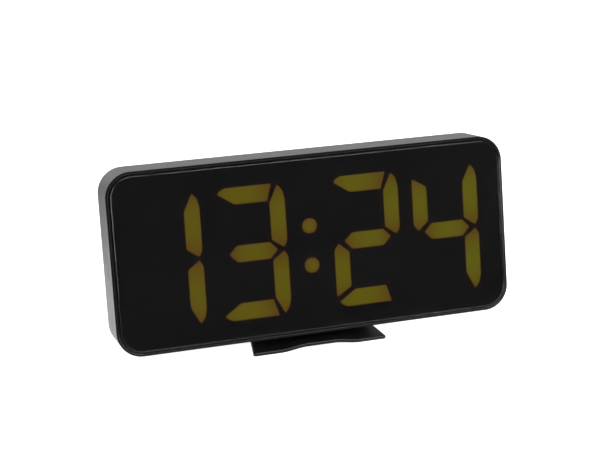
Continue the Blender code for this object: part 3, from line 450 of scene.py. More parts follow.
def add(tree, kind, inputs=None, **settings):
    """Adds a shader node."""
    node = tree.nodes.new("ShaderNode" + kind)
    for key, value in settings.items():
        setattr(node, key, value)
    feed(tree, node, inputs or {})
    return node


def new_material(name):
    """A Principled material with its tree, shader and a millimetre coordinate along the case's axes."""
    material = bpy.data.materials.new(name)
    material.use_nodes = True
    tree = material.node_tree
    shader = tree.nodes["Principled BSDF"]
    origin = add(tree, "TexCoord").outputs["Object"]
    scaled = add(tree, "Mapping", {"Vector": origin, "Scale": (1 / MM,) * 3, "Rotation": (LEAN, 0, 0)})
    return material, tree, shader, scaled.outputs["Vector"]


def noise(tree, where, scale, detail=3.0, rough=0.55):
    """Noise with features of about 1 / scale millimetres."""
    inputs = {"Vector": where, "Scale": scale, "Detail": detail, "Roughness": rough}
    return add(tree, "TexNoise", inputs).outputs["Fac"]


def span(tree, value, low, high, start=0.3, end=0.7, smooth=False):
    """Maps a value between start and end to low and high."""
    kind = "SMOOTHSTEP" if smooth else "LINEAR"
    inputs = {"Value": value, "From Min": start, "From Max": end, "To Min": low, "To Max": high}
    return add(tree, "MapRange", inputs, interpolation_type=kind).outputs["Result"]


def calc(tree, operation, first, second=0.0):
    """A Math node."""
    return add(tree, "Math", {0: first, 1: second}, operation=operation).outputs[0]


def blend_colour(tree, factor, first, second):
    """Mixes two colours, each a socket or red, green and blue."""
    inputs = {"Factor": factor}
    for key, value in ((6, first), (7, second)):
        inputs[key] = (*value, 1.0) if isinstance(value, tuple) else value
    return add(tree, "Mix", inputs, data_type="RGBA").outputs[2]


def painted(tree, name):
    """A value written on the mesh's vertices."""
    return add(tree, "Attribute", attribute_name=name).outputs["Fac"]


def dress(tree, shader, colour, roughness, relief, depth, strength):
    """Gives a shader its colour, roughness and a relief with its depth in millimetres."""
    bump = add(tree, "Bump", {"Height": relief, "Distance": depth * MM, "Strength": strength})
    feed(tree, shader, {"Base Color": colour, "Roughness": roughness, "Normal": bump.outputs["Normal"]})


def shade(colour, factor):
    """A colour made lighter or darker."""
    return tuple(min(1.0, part * factor) for part in colour)


def plastic(name, colour, roughness, grain, depth, cloud=0.12, spread=0.06, wear=0.35):
    """Moulded plastic: cloudy colour, fine spark-eroded grain, uneven gloss and lighter worn edges."""
    material, tree, shader, where = new_material(name)
    broad = noise(tree, where, 0.07)
    fine = noise(tree, where, grain, 2.0, 0.6)
    speck = noise(tree, where, grain * 0.45, 3.0, 0.7)
    base = blend_colour(tree, broad, shade(colour, 1 - cloud), shade(colour, 1 + cloud))
    mottled = blend_colour(tree, span(tree, speck, 0.0, 0.35), base, shade(colour, 1 + 2.5 * cloud))
    patchy = span(tree, noise(tree, where, 0.9, 4.0, 0.65), 0.0, 1.0, 0.42, 0.62)
    worn = calc(tree, "MULTIPLY", calc(tree, "MULTIPLY", painted(tree, "edge"), patchy), wear)
    pale = tuple(part + 0.05 for part in shade(colour, 1.6))
    smear = noise(tree, where, 0.16, 5.0, 0.65)
    gloss = span(tree, smear, roughness - spread, roughness + spread)
    gloss = calc(tree, "ADD", gloss, span(tree, fine, -0.02, 0.02))
    gloss = calc(tree, "SUBTRACT", gloss, calc(tree, "MULTIPLY", worn, 0.15))
    dress(tree, shader, blend_colour(tree, worn, mottled, pale), gloss, fine, depth, 0.6)
    return material


def metal(name, colour, roughness, brushed=(0.4, 6.0, 6.0)):
    """Plated metal with fine drawn lines, uneven gloss and dull spots."""
    material, tree, shader, where = new_material(name)
    shader.inputs["Metallic"].default_value = 1.0
    lines = add(tree, "Mapping", {"Vector": where, "Scale": brushed}).outputs["Vector"]
    streak = noise(tree, lines, 1.0, 4.0, 0.7)
    cloud = noise(tree, where, 0.5, 4.0, 0.6)
    base = blend_colour(tree, span(tree, cloud, 0.0, 1.0), shade(colour, 0.8), shade(colour, 1.1))
    gloss = span(tree, streak, roughness - 0.06, roughness + 0.08)
    gloss = calc(tree, "ADD", gloss, span(tree, cloud, -0.04, 0.06))
    dress(tree, shader, base, gloss, streak, 0.01, 0.4)
    return material


def lens_material():
    """Lightly smoked acrylic with faint smudges and a slight moulded wave."""
    material, tree, shader, where = new_material("smoked_lens_look")
    feed(tree, shader, {"Transmission Weight": 1.0, "IOR": 1.49})
    smear = noise(tree, where, 0.12, 5.0, 0.65)
    tint = blend_colour(tree, smear, (0.66, 0.66, 0.68), (0.72, 0.72, 0.73))
    strokes = add(tree, "Mapping", {"Vector": where, "Scale": (0.05, 1.0, 0.4)}).outputs["Vector"]
    wiped = noise(tree, strokes, 1.0)
    gloss = calc(tree, "ADD", span(tree, smear, 0.0, 0.035), span(tree, wiped, 0.0, 0.02))
    gloss = calc(tree, "ADD", gloss, calc(tree, "MULTIPLY", painted(tree, "edge"), 0.12))
    dress(tree, shader, tint, gloss, noise(tree, where, 0.03, 1.0), 0.015, 0.3)
    return material


def display_material():
    """Black printed film that glows amber where the lit segments stand behind it."""
    material, tree, shader, where = new_material("display_film_look")
    shader.inputs["Specular IOR Level"].default_value = 0.42
    lit, far = painted(tree, "lit"), painted(tree, "far")
    grain = noise(tree, where, 1.6, 3.0, 0.6)
    cloud = noise(tree, where, 0.05, 2.0)
    black = blend_colour(tree, cloud, (0.0020, 0.0020, 0.0021), (0.0030, 0.0030, 0.0032))
    spread = calc(tree, "POWER", calc(tree, "ADD", far, span(tree, grain, -0.04, 0.04)), 2.0)
    across = add(tree, "SeparateXYZ", {"Vector": where}).outputs["X"]
    fresh = span(tree, across, 0.0, 1.0, -75.0, 75.0)
    centre = blend_colour(tree, fresh, (1.0, 0.76, 0.0), (1.0, 0.96, 0.0))
    lamp = blend_colour(tree, spread, centre, (0.90, 0.36, 0.01))
    rim = span(tree, lit, 0.0, 0.25, -0.9, -0.5, True)
    lamp = blend_colour(tree, rim, lamp, (0.85, 0.55, 0.10))
    inside = span(tree, lit, 1.0, 0.0, -0.26, 0.14, True)
    outward = calc(tree, "MULTIPLY", calc(tree, "MAXIMUM", lit, 0.0), -1.0 / HALO_REACH)
    halo = calc(tree, "MULTIPLY", calc(tree, "EXPONENT", outward), HALO_SHARE)
    glow = blend_colour(tree, inside, (1.0, 0.22, 0.06), lamp)
    power = calc(tree, "MULTIPLY", calc(tree, "MAXIMUM", inside, halo), DIGIT_GLOW)
    feed(tree, shader, {"Emission Color": glow, "Emission Strength": power})
    dress(tree, shader, black, span(tree, grain, 0.45, 0.6), grain, 0.01, 0.3)
    return material


def cell_material():
    """Shrink wrap: dark body with a copper band at the positive end, bare steel ends and scuffs."""
    material, tree, shader, where = new_material("cell_wrap_look")
    band, steel = painted(tree, "band"), painted(tree, "steel")
    scuff = noise(tree, where, 1.2, 5.0, 0.7)
    dark = blend_colour(tree, span(tree, scuff, 0.0, 1.0), (0.010, 0.050, 0.022), (0.018, 0.075, 0.034))
    copper = blend_colour(tree, scuff, (0.50, 0.22, 0.07), (0.62, 0.30, 0.11))
    wrap = blend_colour(tree, span(tree, band, 0.0, 1.0, 0.45, 0.55), dark, copper)
    bare = span(tree, steel, 0.0, 1.0, 0.45, 0.55)
    tree.links.new(bare, shader.inputs["Metallic"])
    colour = blend_colour(tree, bare, wrap, (0.62, 0.61, 0.58))
    dress(tree, shader, colour, span(tree, scuff, 0.22, 0.38), scuff, 0.015, 0.3)
    return material


def board_material():
    """Green solder resist with copper tracks showing through as a lighter pattern."""
    material, tree, shader, where = new_material("board_look")
    tracks = add(tree, "TexBrick", {"Vector": where, "Scale": 0.35, "Mortar Size": 0.06})
    line = tracks.outputs["Fac"]
    cloud = noise(tree, where, 0.4, 3.0)
    resist = blend_colour(tree, cloud, (0.010, 0.085, 0.030), (0.016, 0.115, 0.042))
    colour = blend_colour(tree, line, resist, (0.03, 0.20, 0.07))
    dress(tree, shader, colour, span(tree, cloud, 0.28, 0.42), line, 0.03, 0.5)
    return material


PLASTICS = {  # colour, roughness, grain, its depth, cloud, spread, wear
    "housing_charcoal": ((0.125, 0.125, 0.129), 0.40, 2.2, 0.03),
    "frame_black": ((0.0075, 0.0075, 0.0078), 0.18, 4.0, 0.004, 0.12, 0.03, 0.25),
    "mask_black": ((0.010, 0.010, 0.010), 0.55, 4.0, 0.01),
    "diffuser_white": ((0.78, 0.76, 0.68), 0.5, 1.0, 0.01, 0.03),
    "reflector_white": ((0.80, 0.80, 0.78), 0.45, 2.0, 0.01, 0.03),
    "socket_black": ((0.018, 0.018, 0.019), 0.42, 3.0, 0.02),
    "button_black": ((0.022, 0.022, 0.023), 0.36, 3.5, 0.012),
    "foot_black": ((0.008, 0.008, 0.009), 0.10, 1.0, 0.004, 0.1, 0.04, 0.06),
    "wire_red": ((0.45, 0.02, 0.02), 0.45, 2.0, 0.02),
    "wire_black": ((0.015, 0.015, 0.015), 0.45, 2.0, 0.02),
    "mark_white": ((0.42, 0.42, 0.41), 0.5, 4.0, 0.006, 0.08),
}
LOOKS = {name: plastic(name + "_look", *values) for name, values in PLASTICS.items()}
LOOKS |= {
    "smoked_lens": lens_material(),
    "display_film": display_material(),
    "board_green": board_material(),
    "cell_wrap": cell_material(),
    "contact_nickel": metal("contact_nickel_look", (0.66, 0.63, 0.57), 0.28),
    "screw_steel": metal("screw_steel_look", (0.42, 0.42, 0.43), 0.32, (3.0, 3.0, 3.0)),
}


def paint_cad_nodes():
    """Gives every CAD node the look of its own material slot."""
    for obj in frame["nodes"].values():
        look = LOOKS[obj.data.materials[0].name]
        obj.data.materials.clear()
        obj.data.materials.append(look)


def place(obj, slot, body="clock", replaces=(), angle=32.0, look=None):
    """Finishes a piece: shading, material, body and the CAD nodes that it stands for; the slot names its look
    unless a look is given.
    """
    finish_mesh(obj, angle)
    obj.data.materials.clear()
    obj.data.materials.append(LOOKS[look or slot])
    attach(obj, body)
    if replaces:
        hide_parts(*replaces)


# ---- front


def segment_outlines():
    """Seven segment outlines about a digit's centre, anticlockwise."""
    shapes = {
        "a": [(-6.2, 19.1), (6.7, 19.1), (8.9, 25.8), (-9.8, 25.8), (-11.6, 24.9), (-13.0, 23.6)],
        "b": [(7.6, 4.0), (12.4, 0.6), (13.9, 3.2), (13.9, 19.6), (13.1, 22.8), (11.2, 25.2), (7.6, 18.4)],
        "f": [(-14.0, 3.2), (-12.0, 0.6), (-7.7, 4.2), (-7.7, 17.9), (-13.6, 21.5), (-14.0, 20.6)],
        "g": [(-9.6, 0.0), (-6.3, -3.3), (6.6, -3.3), (10.0, 0.0), (6.8, 3.3), (-6.3, 3.3)],
    }
    for upper, lower in (("a", "d"), ("b", "c"), ("f", "e")):
        shapes[lower] = [(x, -z) for x, z in reversed(shapes[upper])]
    return shapes


def lit_outlines():
    """Every lit segment and colon dot about the display's centre."""
    shapes = segment_outlines()
    found = []
    for middle, names in zip(CELL_CENTRES, LIT):
        shift = middle + DIGIT_NUDGE
        for name in names:
            found.append([(x + shift, z * DIGIT_STRETCH - DIGIT_DROP) for x, z in shapes[name]])
    for height in COLON_HEIGHTS:
        found.append(circle(COLON_RADIUS, (0.0, height)))
    return found


def signed_distance(points, outline):
    """Distance of each point from a convex outline, negative inside."""
    start = np.array(outline)
    edge = np.roll(start, -1, axis=0) - start
    offset = points[:, None, :] - start
    along = np.clip((offset * edge).sum(2) / (edge**2).sum(1), 0.0, 1.0)
    gap = np.sqrt(((offset - along[..., None] * edge) ** 2).sum(2).min(1))
    inside = (edge[:, 0] * offset[..., 1] - edge[:, 1] * offset[..., 0] > 0.0).all(1)
    return np.where(inside, -gap, gap)


def film_lamps(grid):
    """For each grid point, its distance from the lit outlines and how far out of the nearest it is."""
    nearest = np.full(len(grid), FAR_AWAY)
    far = np.zeros(len(grid))
    for outline in lit_outlines():
        distance = signed_distance(grid, outline)
        corners = np.array(outline)
        centre = corners.mean(0)
        reach = np.sqrt(((corners - centre) ** 2).sum(1)).max()
        closer = distance < nearest
        far[closer] = (np.sqrt(((grid - centre) ** 2).sum(1)) / reach)[closer]
        nearest[closer] = distance[closer]
    return nearest, far


def film_border(columns, rows):
    """Places of the grid's outer points, anticlockwise."""
    border = list(range(columns))
    border += [row * columns + columns - 1 for row in range(1, rows)]
    border += [(rows - 1) * columns + column for column in range(columns - 2, -1, -1)]
    return border + [row * columns for row in range(rows - 2, 0, -1)]


def make_display_film():
    """Thin printed film behind the lens: a fine grid that carries the distance from the lit segments."""
    columns, rows = FILM_GRID
    front = LENS_BACK + FILM_GAP
    xs = np.linspace(-FILM_HALF[0], FILM_HALF[0], columns)
    zs = np.linspace(-FILM_HALF[1], FILM_HALF[1], rows)
    grid = np.array([(x, z) for z in zs for x in xs])
    edit = bmesh.new()
    lit_layer = edit.verts.layers.float.new("lit")
    far_layer = edit.verts.layers.float.new("far")
    verts = []
    for (x, z), distance, share in zip(grid, *film_lamps(grid)):
        vertex = edit.verts.new(case_point(x + DISPLAY[0], front, z + DISPLAY[1]))
        vertex[lit_layer] = distance
        vertex[far_layer] = share
        verts.append(vertex)
    for row in range(rows - 1):
        for column in range(columns - 1):
            low = row * columns + column
            high = low + columns
            edit.faces.new((verts[low], verts[low + 1], verts[high + 1], verts[high]))
    border = film_border(columns, rows)
    rim_front, rim_back = [], []
    for index in border:
        x, z = to_rounded_edge(*(grid[index] + DISPLAY - MIDDLE), LENS_INSET + FILM_INSET)
        for ring, depth in ((rim_front, front), (rim_back, front + FILM_THICK)):
            made = edit.verts.new(case_point(x, depth, z + MIDDLE[1]))
            made[lit_layer] = FAR_AWAY
            ring.append(made)
    bridge(edit, [verts[index] for index in border], rim_front)
    bridge(edit, rim_front, rim_back)
    edit.faces.new(rim_back[::-1])
    bmesh.ops.recalc_face_normals(edit, faces=edit.faces)
    place(from_edit("display_film", edit), "mask_black", look="display_film")


def to_rounded_edge(x, z, inset):
    """Where a ray from the middle through (x, z) meets the case's outline moved inwards."""
    half_x, half_z, radius = WIDTH / 2 - inset, HEIGHT / 2 - inset, CORNER - inset
    low, high = 0.0, 3.0
    for _ in range(40):
        scale = (low + high) / 2
        out_x = max(abs(x * scale) - (half_x - radius), 0.0)
        out_z = max(abs(z * scale) - (half_z - radius), 0.0)
        beyond = abs(x * scale) > half_x or abs(z * scale) > half_z
        if beyond or math.hypot(out_x, out_z) > radius:
            high = scale
        else:
            low = scale
    return x * low, z * low


def make_lens():
    """Flat lens with a narrow polished bevel."""
    wide, deep = LENS_BEVEL
    profile = (  # inset, depth, how much of an edge it is
        (wide + 0.5, 0.0, 0.0),
        (wide + 0.05, 0.0, 0.5),
        (wide - 0.01, 0.01, 1.0),
        (0.03, deep - 0.01, 1.0),
        (0.008, deep + 0.015, 1.0),
        (0.0, deep + 0.05, 0.5),
        (0.0, LENS_BACK - LENS_FRONT, 0.0),
    )
    rings = []
    for inset, depth, edge in profile:
        rings.append(level(case_outline(LENS_INSET + inset, 24), LENS_FRONT + depth, edge))
    place(loft("lens_glass", rings), "smoked_lens", replaces=["front_lens"], angle=12.0)


def make_frame():
    """Frame round the lens: flat rim, step, sloping lip, and the ledge and skirt that hold the display."""
    skirt_inner = SKIRT_INSET + SKIRT_THICK
    profile = (  # inset, depth, how much of an edge it is
        (0.0, 0.45, 0.0),
        (0.0, -0.44, 0.3),
        (0.02, -0.53, 1.0),
        (0.06, -0.58, 1.0),
        (0.12, -0.6, 0.4),
        (0.15, -0.6, 0.0),
        (0.59, -0.6, 0.0),
        (0.62, -0.6, 0.0),
        (0.68, -0.66, 0.0),
        (0.74, -0.82, 0.3),
        (0.78, -0.88, 1.0),
        (0.83, -0.9, 1.0),
        (0.91, -0.89, 0.6),
        (1.22, -0.66, 0.3),
        (1.27, -0.61, 1.0),
        (FRAME_INNER, -0.56, 0.3),
        (FRAME_INNER, -0.5, 0.0),
        (FRAME_INNER, -0.1, 0.0),
        (LEDGE_INSET, -0.1, 0.0),
        (LEDGE_INSET, LEDGE_BACK, 0.0),
        (skirt_inner, LEDGE_BACK, 0.0),
        (skirt_inner, SKIRT_BACK, 0.0),
        (SKIRT_INSET, SKIRT_BACK, 0.0),
        (SKIRT_INSET, 0.45, 0.0),
    )
    rings = [level(case_outline(inset, 24), depth, edge) for inset, depth, edge in profile]
    bosses = [straight("boss", circle(BOSS_RADIUS, spot), *BOSS_DEPTHS) for spot in SCREWS]
    ring = loft("bezel_frame", rings, closed=True)
    combine(ring, [join("bosses", bosses)])
    place(ring, "frame_black", replaces=["front_frame"], angle=30.0)


# ---- rear housing


def button_spot(index):
    """Where a button stands in the row."""
    return BUTTON_FIRST + BUTTON_PITCH * index, BUTTON_HEIGHT


def shell_rings():
    """Rings from the housing's inner back over its rim to the rounded back edge."""
    profile = [  # inset, depth
        (WALL, BACK_INNER),
        (WALL, RIM_FRONT + 0.1),
        (WALL - 0.1, RIM_FRONT),
        (0.2, RIM_FRONT),
        (0.06, RIM_FRONT + 0.06),
        (0.0, RIM_FRONT + 0.2),
        (0.0, RIM_FRONT + 1.0),
        (0.0, DEPTH - BACK_ROUNDING - 1.0),
    ]
    profile += [(inset, DEPTH - below) for inset, below in quarter(BACK_ROUNDING, 10)]
    profile.append((BACK_ROUNDING + 0.6, DEPTH))
    return [level(case_outline(inset), depth) for inset, depth in profile]


def housing_wells():
    """Chamfered openings in the back wall: screws, buttons, switch, power inlet and sounder."""
    wells = [opening("well", grown_circle(SCREW_WELL, spot), SCREW_SEAT) for spot in SCREWS]
    width, height = BUTTON_SIZE[0] + 2 * GAP, BUTTON_SIZE[1] + 2 * GAP
    for index in range(len(BUTTONS)):
        grown = grown_rounded(width, height, height / 2, button_spot(index), 12)
        wells.append(opening("well", grown, CUT_FRONT))
    slot_centre = (KNOB[0] + KNOB_TRAVEL / 2, KNOB[1])
    slot_width = KNOB_SIZE[0] + KNOB_TRAVEL + 2 * GAP
    slot = grown_rounded(slot_width, KNOB_SIZE[1] + 2 * GAP, 0.5, slot_centre)
    wells.append(opening("well", slot, CUT_FRONT, 0.2))
    wells.append(opening("well", grown_circle(INLET_HOLE, INLET, 32), CUT_FRONT, 0.3))
    for ring, count in SOUND_RINGS:
        for spot in circle(ring, BUZZER, count):
            wells.append(opening("well", grown_circle(SOUND_HOLE, spot, 14), CUT_FRONT, 0.2))
    return join("wells", wells)


def make_housing():
    """Rear shell with its battery bay, posts, foot socket and chamfered openings."""
    housing = loft("housing_shell", shell_rings())
    add_on = BACK_INNER + 0.5
    low = (BAY_LOW[0] - BAY_WALL, BAY_FLOOR - 0.8, BAY_LOW[1] - BAY_WALL)
    high = (BAY_HIGH[0] + BAY_WALL, add_on, BAY_HIGH[1] + BAY_WALL)
    posts = [straight("post", circle(POST_RADIUS, spot), POST_FRONT, add_on) for spot in SCREWS]
    bay_centre = (DOOR_CENTRE, (BAY_LOW[1] + BAY_HIGH[1]) / 2)
    ledge_width = BAY_HIGH[0] - BAY_LOW[0] + 2 * DOOR_LEDGE
    ledge_height = BAY_HIGH[1] - BAY_LOW[1] + 2 * DOOR_LEDGE
    pockets = []
    for x in HOOK_SPOTS:
        corner = (x - 4.0, HOOK_FRONT - 0.8, BAY_LOW[1] - 1.8)
        pockets.append(block("pocket", corner, (x + 4.0, BACK_INNER + 0.4, BAY_LOW[1] + 0.5)))
    half, front, back, _, top = NECK
    mortise_low = (-half - GAP, front - GAP, -2.0)
    mortise_high = (half + GAP, back + GAP, top + GAP)
    hollow_low = (BAY_LOW[0], BAY_FLOOR, BAY_LOW[1])
    hollow_high = (BAY_HIGH[0], DEPTH + 1.0, BAY_HIGH[1])
    recess = grown_rounded(ledge_width, ledge_height, 0.8, bay_centre)
    added = [
        block("bay", low, high, 0.6),
        block("socket", (-14.5, 6.7, 1.0), (14.5, 15.6, 12.0), 0.5),
        join("posts", posts),
    ]
    cut = [
        block("hollow", hollow_low, hollow_high, 0.4),
        opening("recess", recess, BACK_INNER, 0.2),
        join("pockets", pockets),
        block("mortise", mortise_low, mortise_high, 0.2),
        housing_wells(),
    ]
    combine(housing, added, cut)
    place(housing, "housing_charcoal", replaces=["rear_housing"])


def make_door():
    """Battery door: plate with a spring tongue, thumb ribs and two hooks."""
    margin = DOOR_LEDGE - GAP
    low = (BAY_LOW[0] - margin, DEPTH - DOOR_THICK, BAY_LOW[1] - margin)
    high = (BAY_HIGH[0] + margin, DEPTH, BAY_HIGH[1] + margin)
    door = block("battery_cover", low, high, 0.6, (0.0, 0.25))
    hooks, slots, ribs = [], [], []
    for x in HOOK_SPOTS:
        left, right = x - 3.0, x + 3.0
        hook = block("hook", (left, HOOK_FRONT, low[2] + 0.1), (right, low[1] + 0.3, low[2] + 1.2), 0.2)
        lip = block("lip", (left, HOOK_FRONT, low[2] - 1.0), (right, HOOK_FRONT + 1.3, low[2] + 0.4), 0.2)
        hooks += [hook, lip]
    for side in (-1.0, 1.0):
        x = DOOR_CENTRE + side * TONGUE_HALF
        slot_low = (x - 0.4, low[1] - 1.0, high[2] - TONGUE_LENGTH)
        slots.append(block("slot", slot_low, (x + 0.4, DEPTH + 1.0, high[2] + 1.0), 0.35))
    for step in range(RIBS):
        spot = (DOOR_CENTRE, high[2] - 2.2 - RIB_PITCH * step)
        ribs.append(block_at("rib", spot, RIB_HALF, DEPTH - 0.2, DEPTH + 0.4, 0.28, (0.0, 0.2)))
    combine(door, [*hooks, join("ribs", ribs)], slots)
    place(door, "housing_charcoal", "battery_door_body", ["battery_door"])
    make_door_arrow(high[2] - 12.5)


def make_door_arrow(tip):
    """Raised arrow under the thumb ribs."""
    outer = [(-2.6, -3.4), (2.6, -3.4), (0.0, 0.0)]
    inner = [(-2.05, -3.15), (2.05, -3.15), (0.0, -0.47)]
    rings = []
    for shape, y, edge in ((outer, -0.1, 0.0), (outer, 0.2, 1.0), (inner, 0.4, 1.0)):
        rings.append(level([(DOOR_CENTRE + x, tip + z) for x, z in shape], DEPTH + y, edge))
    place(loft("door_arrow", rings), "housing_charcoal", "battery_door_body")


# ---- controls


def symbol_outlines(label):
    """Small generic symbol printed on a button, as outlines about its centre."""
    if label == "up":
        return [[(-1.3, -0.8), (1.3, -0.8), (0.0, 1.2)]]
    if label == "down":
        return [[(-1.3, 0.8), (0.0, -1.2), (1.3, 0.8)]]
    if label == "mode":
        return [rounded(2.6, 0.4, 0.15, (0.0, z), 2) for z in (-0.95, 0.0, 0.95)]
    if label == "alarm":
        bell = [(-1.3, -0.75), (1.3, -0.75), (0.9, -0.3), (0.85, 0.5), (0.5, 1.0), (-0.5, 1.0)]
        return [bell + [(-0.85, 0.5), (-0.9, -0.3)], circle(0.28, (0.0, -1.15), 10)]
    rays = []
    for step in range(8):
        angle = math.pi / 4 * step
        out = Vector((math.cos(angle), math.sin(angle)))
        side = Vector((-out.y, out.x)) * 0.13
        corners = [out * 0.95 - side, out * 1.5 - side, out * 1.5 + side, out * 0.95 + side]
        rays.append([tuple(corner) for corner in corners])
    return [circle(0.6, steps=16), *rays]


def make_button(label, spot):
    """Button with its flange and stem, and the symbol printed on it."""
    body = f"button_{label}_body"
    width, height = BUTTON_SIZE
    face = DEPTH + BUTTON_PROUD
    back = BACK_INNER - GAP
    grown = grown_rounded(width, height, height / 2, spot, 12)
    flange = rounded(width + 2.0, height + 2.0, height / 2 + 1.0, spot, 12)
    cap = loft("button_cap_" + label, plate_rings(grown, 16.8, face, 0.0, 0.6, 5))
    stem = straight("stem", circle(1.6, spot), 15.3, 17.4)
    combine(cap, [straight("flange", flange, back - 1.3, back), stem])
    place(cap, "button_black", body, ["button_" + label])
    marks = []
    for outline in symbol_outlines(label):
        moved = [(spot[0] - x, spot[1] + z) for x, z in outline]
        marks.append(straight("mark", moved, face + PRINT_DEPTHS[0], face + PRINT_DEPTHS[1]))
    place(join("button_symbol_" + label, marks), "button_black", body, look="mark_white")


def make_knob():
    """Alarm switch's knob: a grooved cap on a flange, with a lever to the switch."""
    half_x, half_z = KNOB_SIZE[0] / 2, KNOB_SIZE[1] / 2
    face = DEPTH + KNOB_PROUD
    knob = block_at("switch_knob", KNOB, (half_x, half_z), 17.0, face, 0.4, (0.0, 0.25))
    flange = block_at("flange", KNOB, (5.2, 2.4), 16.7, 17.9)
    lever = block_at("lever", KNOB, (1.0, 0.8), 13.0, 17.4, 0.2)
    grooves = []
    for offset in (-1.0, 0.0, 1.0):
        spot = (KNOB[0] + offset, KNOB[1])
        grooves.append(block_at("groove", spot, (0.18, half_z + 0.5), face - 0.35, face + 0.5, 0.1))
    combine(knob, [flange, lever], grooves)
    place(knob, "button_black", "alarm_knob_body", ["alarm_knob"])


def make_switch_marks():
    """A dot and a ring printed at the ends of the switch's slot."""
    front, back = (DEPTH + depth for depth in PRINT_DEPTHS)
    dot = straight("mark", circle(0.55, (KNOB[0] - 4.6, KNOB[1]), 16), front, back)
    spot = (KNOB[0] + KNOB_TRAVEL + 4.6, KNOB[1])
    outer, inner = circle(0.62, spot, 20), circle(0.38, spot, 20)
    rings = [level(outer, front), level(outer, back), level(inner, back), level(inner, front)]
    ring = loft("mark", rings, closed=True)
    place(join("switch_marks", [dot, ring]), "housing_charcoal", look="mark_white")


def make_inlet():
    """Power socket with its bore and centre pin."""
    socket = block_at("inlet_socket", INLET, (INLET_HALF, INLET_HALF), 10.5, 17.9, 0.6, (0.0, 0.3))
    bore = []
    for radius, y in ((2.85, 11.3), (2.85, 17.6), (3.2, 18.0), (3.2, 19.0)):
        bore.append(level(circle(radius, INLET, 32), y))
    combine(socket, cut=[loft("bore", bore)])
    place(socket, "socket_black", replaces=["power_inlet"])
    pin = [(0.0, 0.0), (1.0, 0.0), (1.0, 5.2), (0.8, 5.7), (0.4, 6.0), (0.0, 6.05)]
    place(turned("inlet_pin", pin, (INLET[0], 11.2, INLET[1]), (0, 1, 0), 20), "contact_nickel")


def make_screw(node, head_radius, shank_radius, length, base, direction, slot_half):
    """Pan-head screw with a cross recess."""
    profile = [
        (0.0, 1.5),
        (head_radius * 0.45, 1.5),
        (head_radius * 0.75, 1.32),
        (head_radius * 0.93, 0.95),
        (head_radius, 0.45),
        (head_radius, 0.0),
        (shank_radius, 0.0),
        (shank_radius, -length + 0.8),
        (0.0, -length),
    ]
    screw = turned(node + "_head", profile, base, direction)
    axis = Vector(direction)
    side = axis.orthogonal().normalized()
    corners = ((1, 1), (-1, 1), (-1, -1), (1, -1))
    recesses = []
    for long_way in (side, axis.cross(side)):
        short_way = axis.cross(long_way)
        rings = []
        for height, long, short in ((0.45, 0.5, 0.16), (1.7, slot_half * 1.1, 0.3)):
            centre = Vector(base) + axis * height
            ring = [centre + long_way * (a * long) + short_way * (b * short) for a, b in corners]
            rings.append((ring, 0.0))
        recesses.append(loft("recess", rings))
    combine(screw, cut=recesses)
    place(screw, "screw_steel", replaces=[node])


def make_screws():
    """Four case screws and the foot's screw."""
    for index, (x, z) in enumerate(SCREWS):
        make_screw(f"case_screw_{index + 1}", 2.5, 1.2, 13.6, (x, SCREW_SEAT + 0.1, z), (0, 1, 0), 1.3)
    make_screw("foot_screw", 2.3, 1.3, 10.3, (0.0, NECK_MIDDLE, 0.2), (0, 0, -1), 1.2)


# ---- batteries


def make_cells():
    """Three cells with a printed band, a nub and a bare rim, and a spring behind each."""
    radius, length = CELL_RADIUS, CELL_LENGTH
    profile = [  # from the nub to the flat end
        (0.0, length), (1.5, length), (1.8, length - 0.12), (1.9, length - 0.4), (1.9, length - 0.95),
        (2.2, length - 1.05), (4.5, length - 1.05), (4.7, length - 0.95), (5.0, length - 0.95),
        (5.18, length - 1.1), (radius, length - 1.4), (radius, length - 9.0), (radius, length - 9.05),
        (radius, 0.5), (5.15, 0.2), (4.9, 0.05), (4.6, 0.1), (4.4, 0.25), (3.2, 0.25), (3.0, 0.0), (0.0, 0.0),
    ]
    marks = {"steel": {*range(0, 7), *range(16, 21)}, "band": {*range(7, 12)}}
    left, right = BAY_LOW[0] + CELL_ROOM, BAY_HIGH[0] - CELL_ROOM
    for index, height in enumerate(CELL_HEIGHTS):
        sign = 1.0 if index % 2 == 0 else -1.0
        tip, wall = (right, left) if sign > 0 else (left, right)
        base = (tip - sign * length, CELL_DEPTH, height)
        cell = turned(f"battery_{index + 1}", profile, base, (sign, 0, 0), CELL_STEPS)
        mark_rows(cell, profile, marks)
        place(cell, "cell_wrap", replaces=[f"battery_cell_{index + 1}"])
        spring = make_spring(f"battery_spring_{index + 1}", wall, base[0] - sign * 2 * GAP, height)
        place(spring, "contact_nickel", replaces=[f"contact_spring_{index + 1}"])


def mark_rows(cell, profile, marks):
    """Writes 1 on the vertices of the named profile rows of a cell, and 0 on the others."""
    for name, rows in marks.items():
        values = []
        for row, (radius, _) in enumerate(profile):
            values += [float(row in rows)] * (CELL_STEPS if radius else 1)
        layer = cell.data.attributes.new(name, "FLOAT", "POINT")
        layer.data.foreach_set("value", np.array(values, np.float32))


def make_spring(name, start_x, end_x, height):
    """Conical contact spring as a round wire."""
    turns, per_turn, sides, wire = 4, 24, 10, 0.3
    wide, narrow = 3.7, 2.1
    count = turns * per_turn
    inset = math.copysign(wire + 0.05, end_x - start_x)
    line = []
    for step in range(count + 1):
        part = step / count
        angle = 2 * math.pi * turns * part
        radius = wide + (narrow - wide) * part
        x = start_x + inset + (end_x - start_x - 2 * inset) * part
        line.append(Vector((x, CELL_DEPTH + radius * math.cos(angle), height + radius * math.sin(angle))))
    rings = []
    for index, centre in enumerate(line):
        along = (line[min(index + 1, count)] - line[max(index - 1, 0)]).normalized()
        side = Vector((1, 0, 0)).cross(along).normalized()
        rings.append((ring_about(centre, side, along.cross(side), wire, sides), 0.0))
    return loft(name, rings)


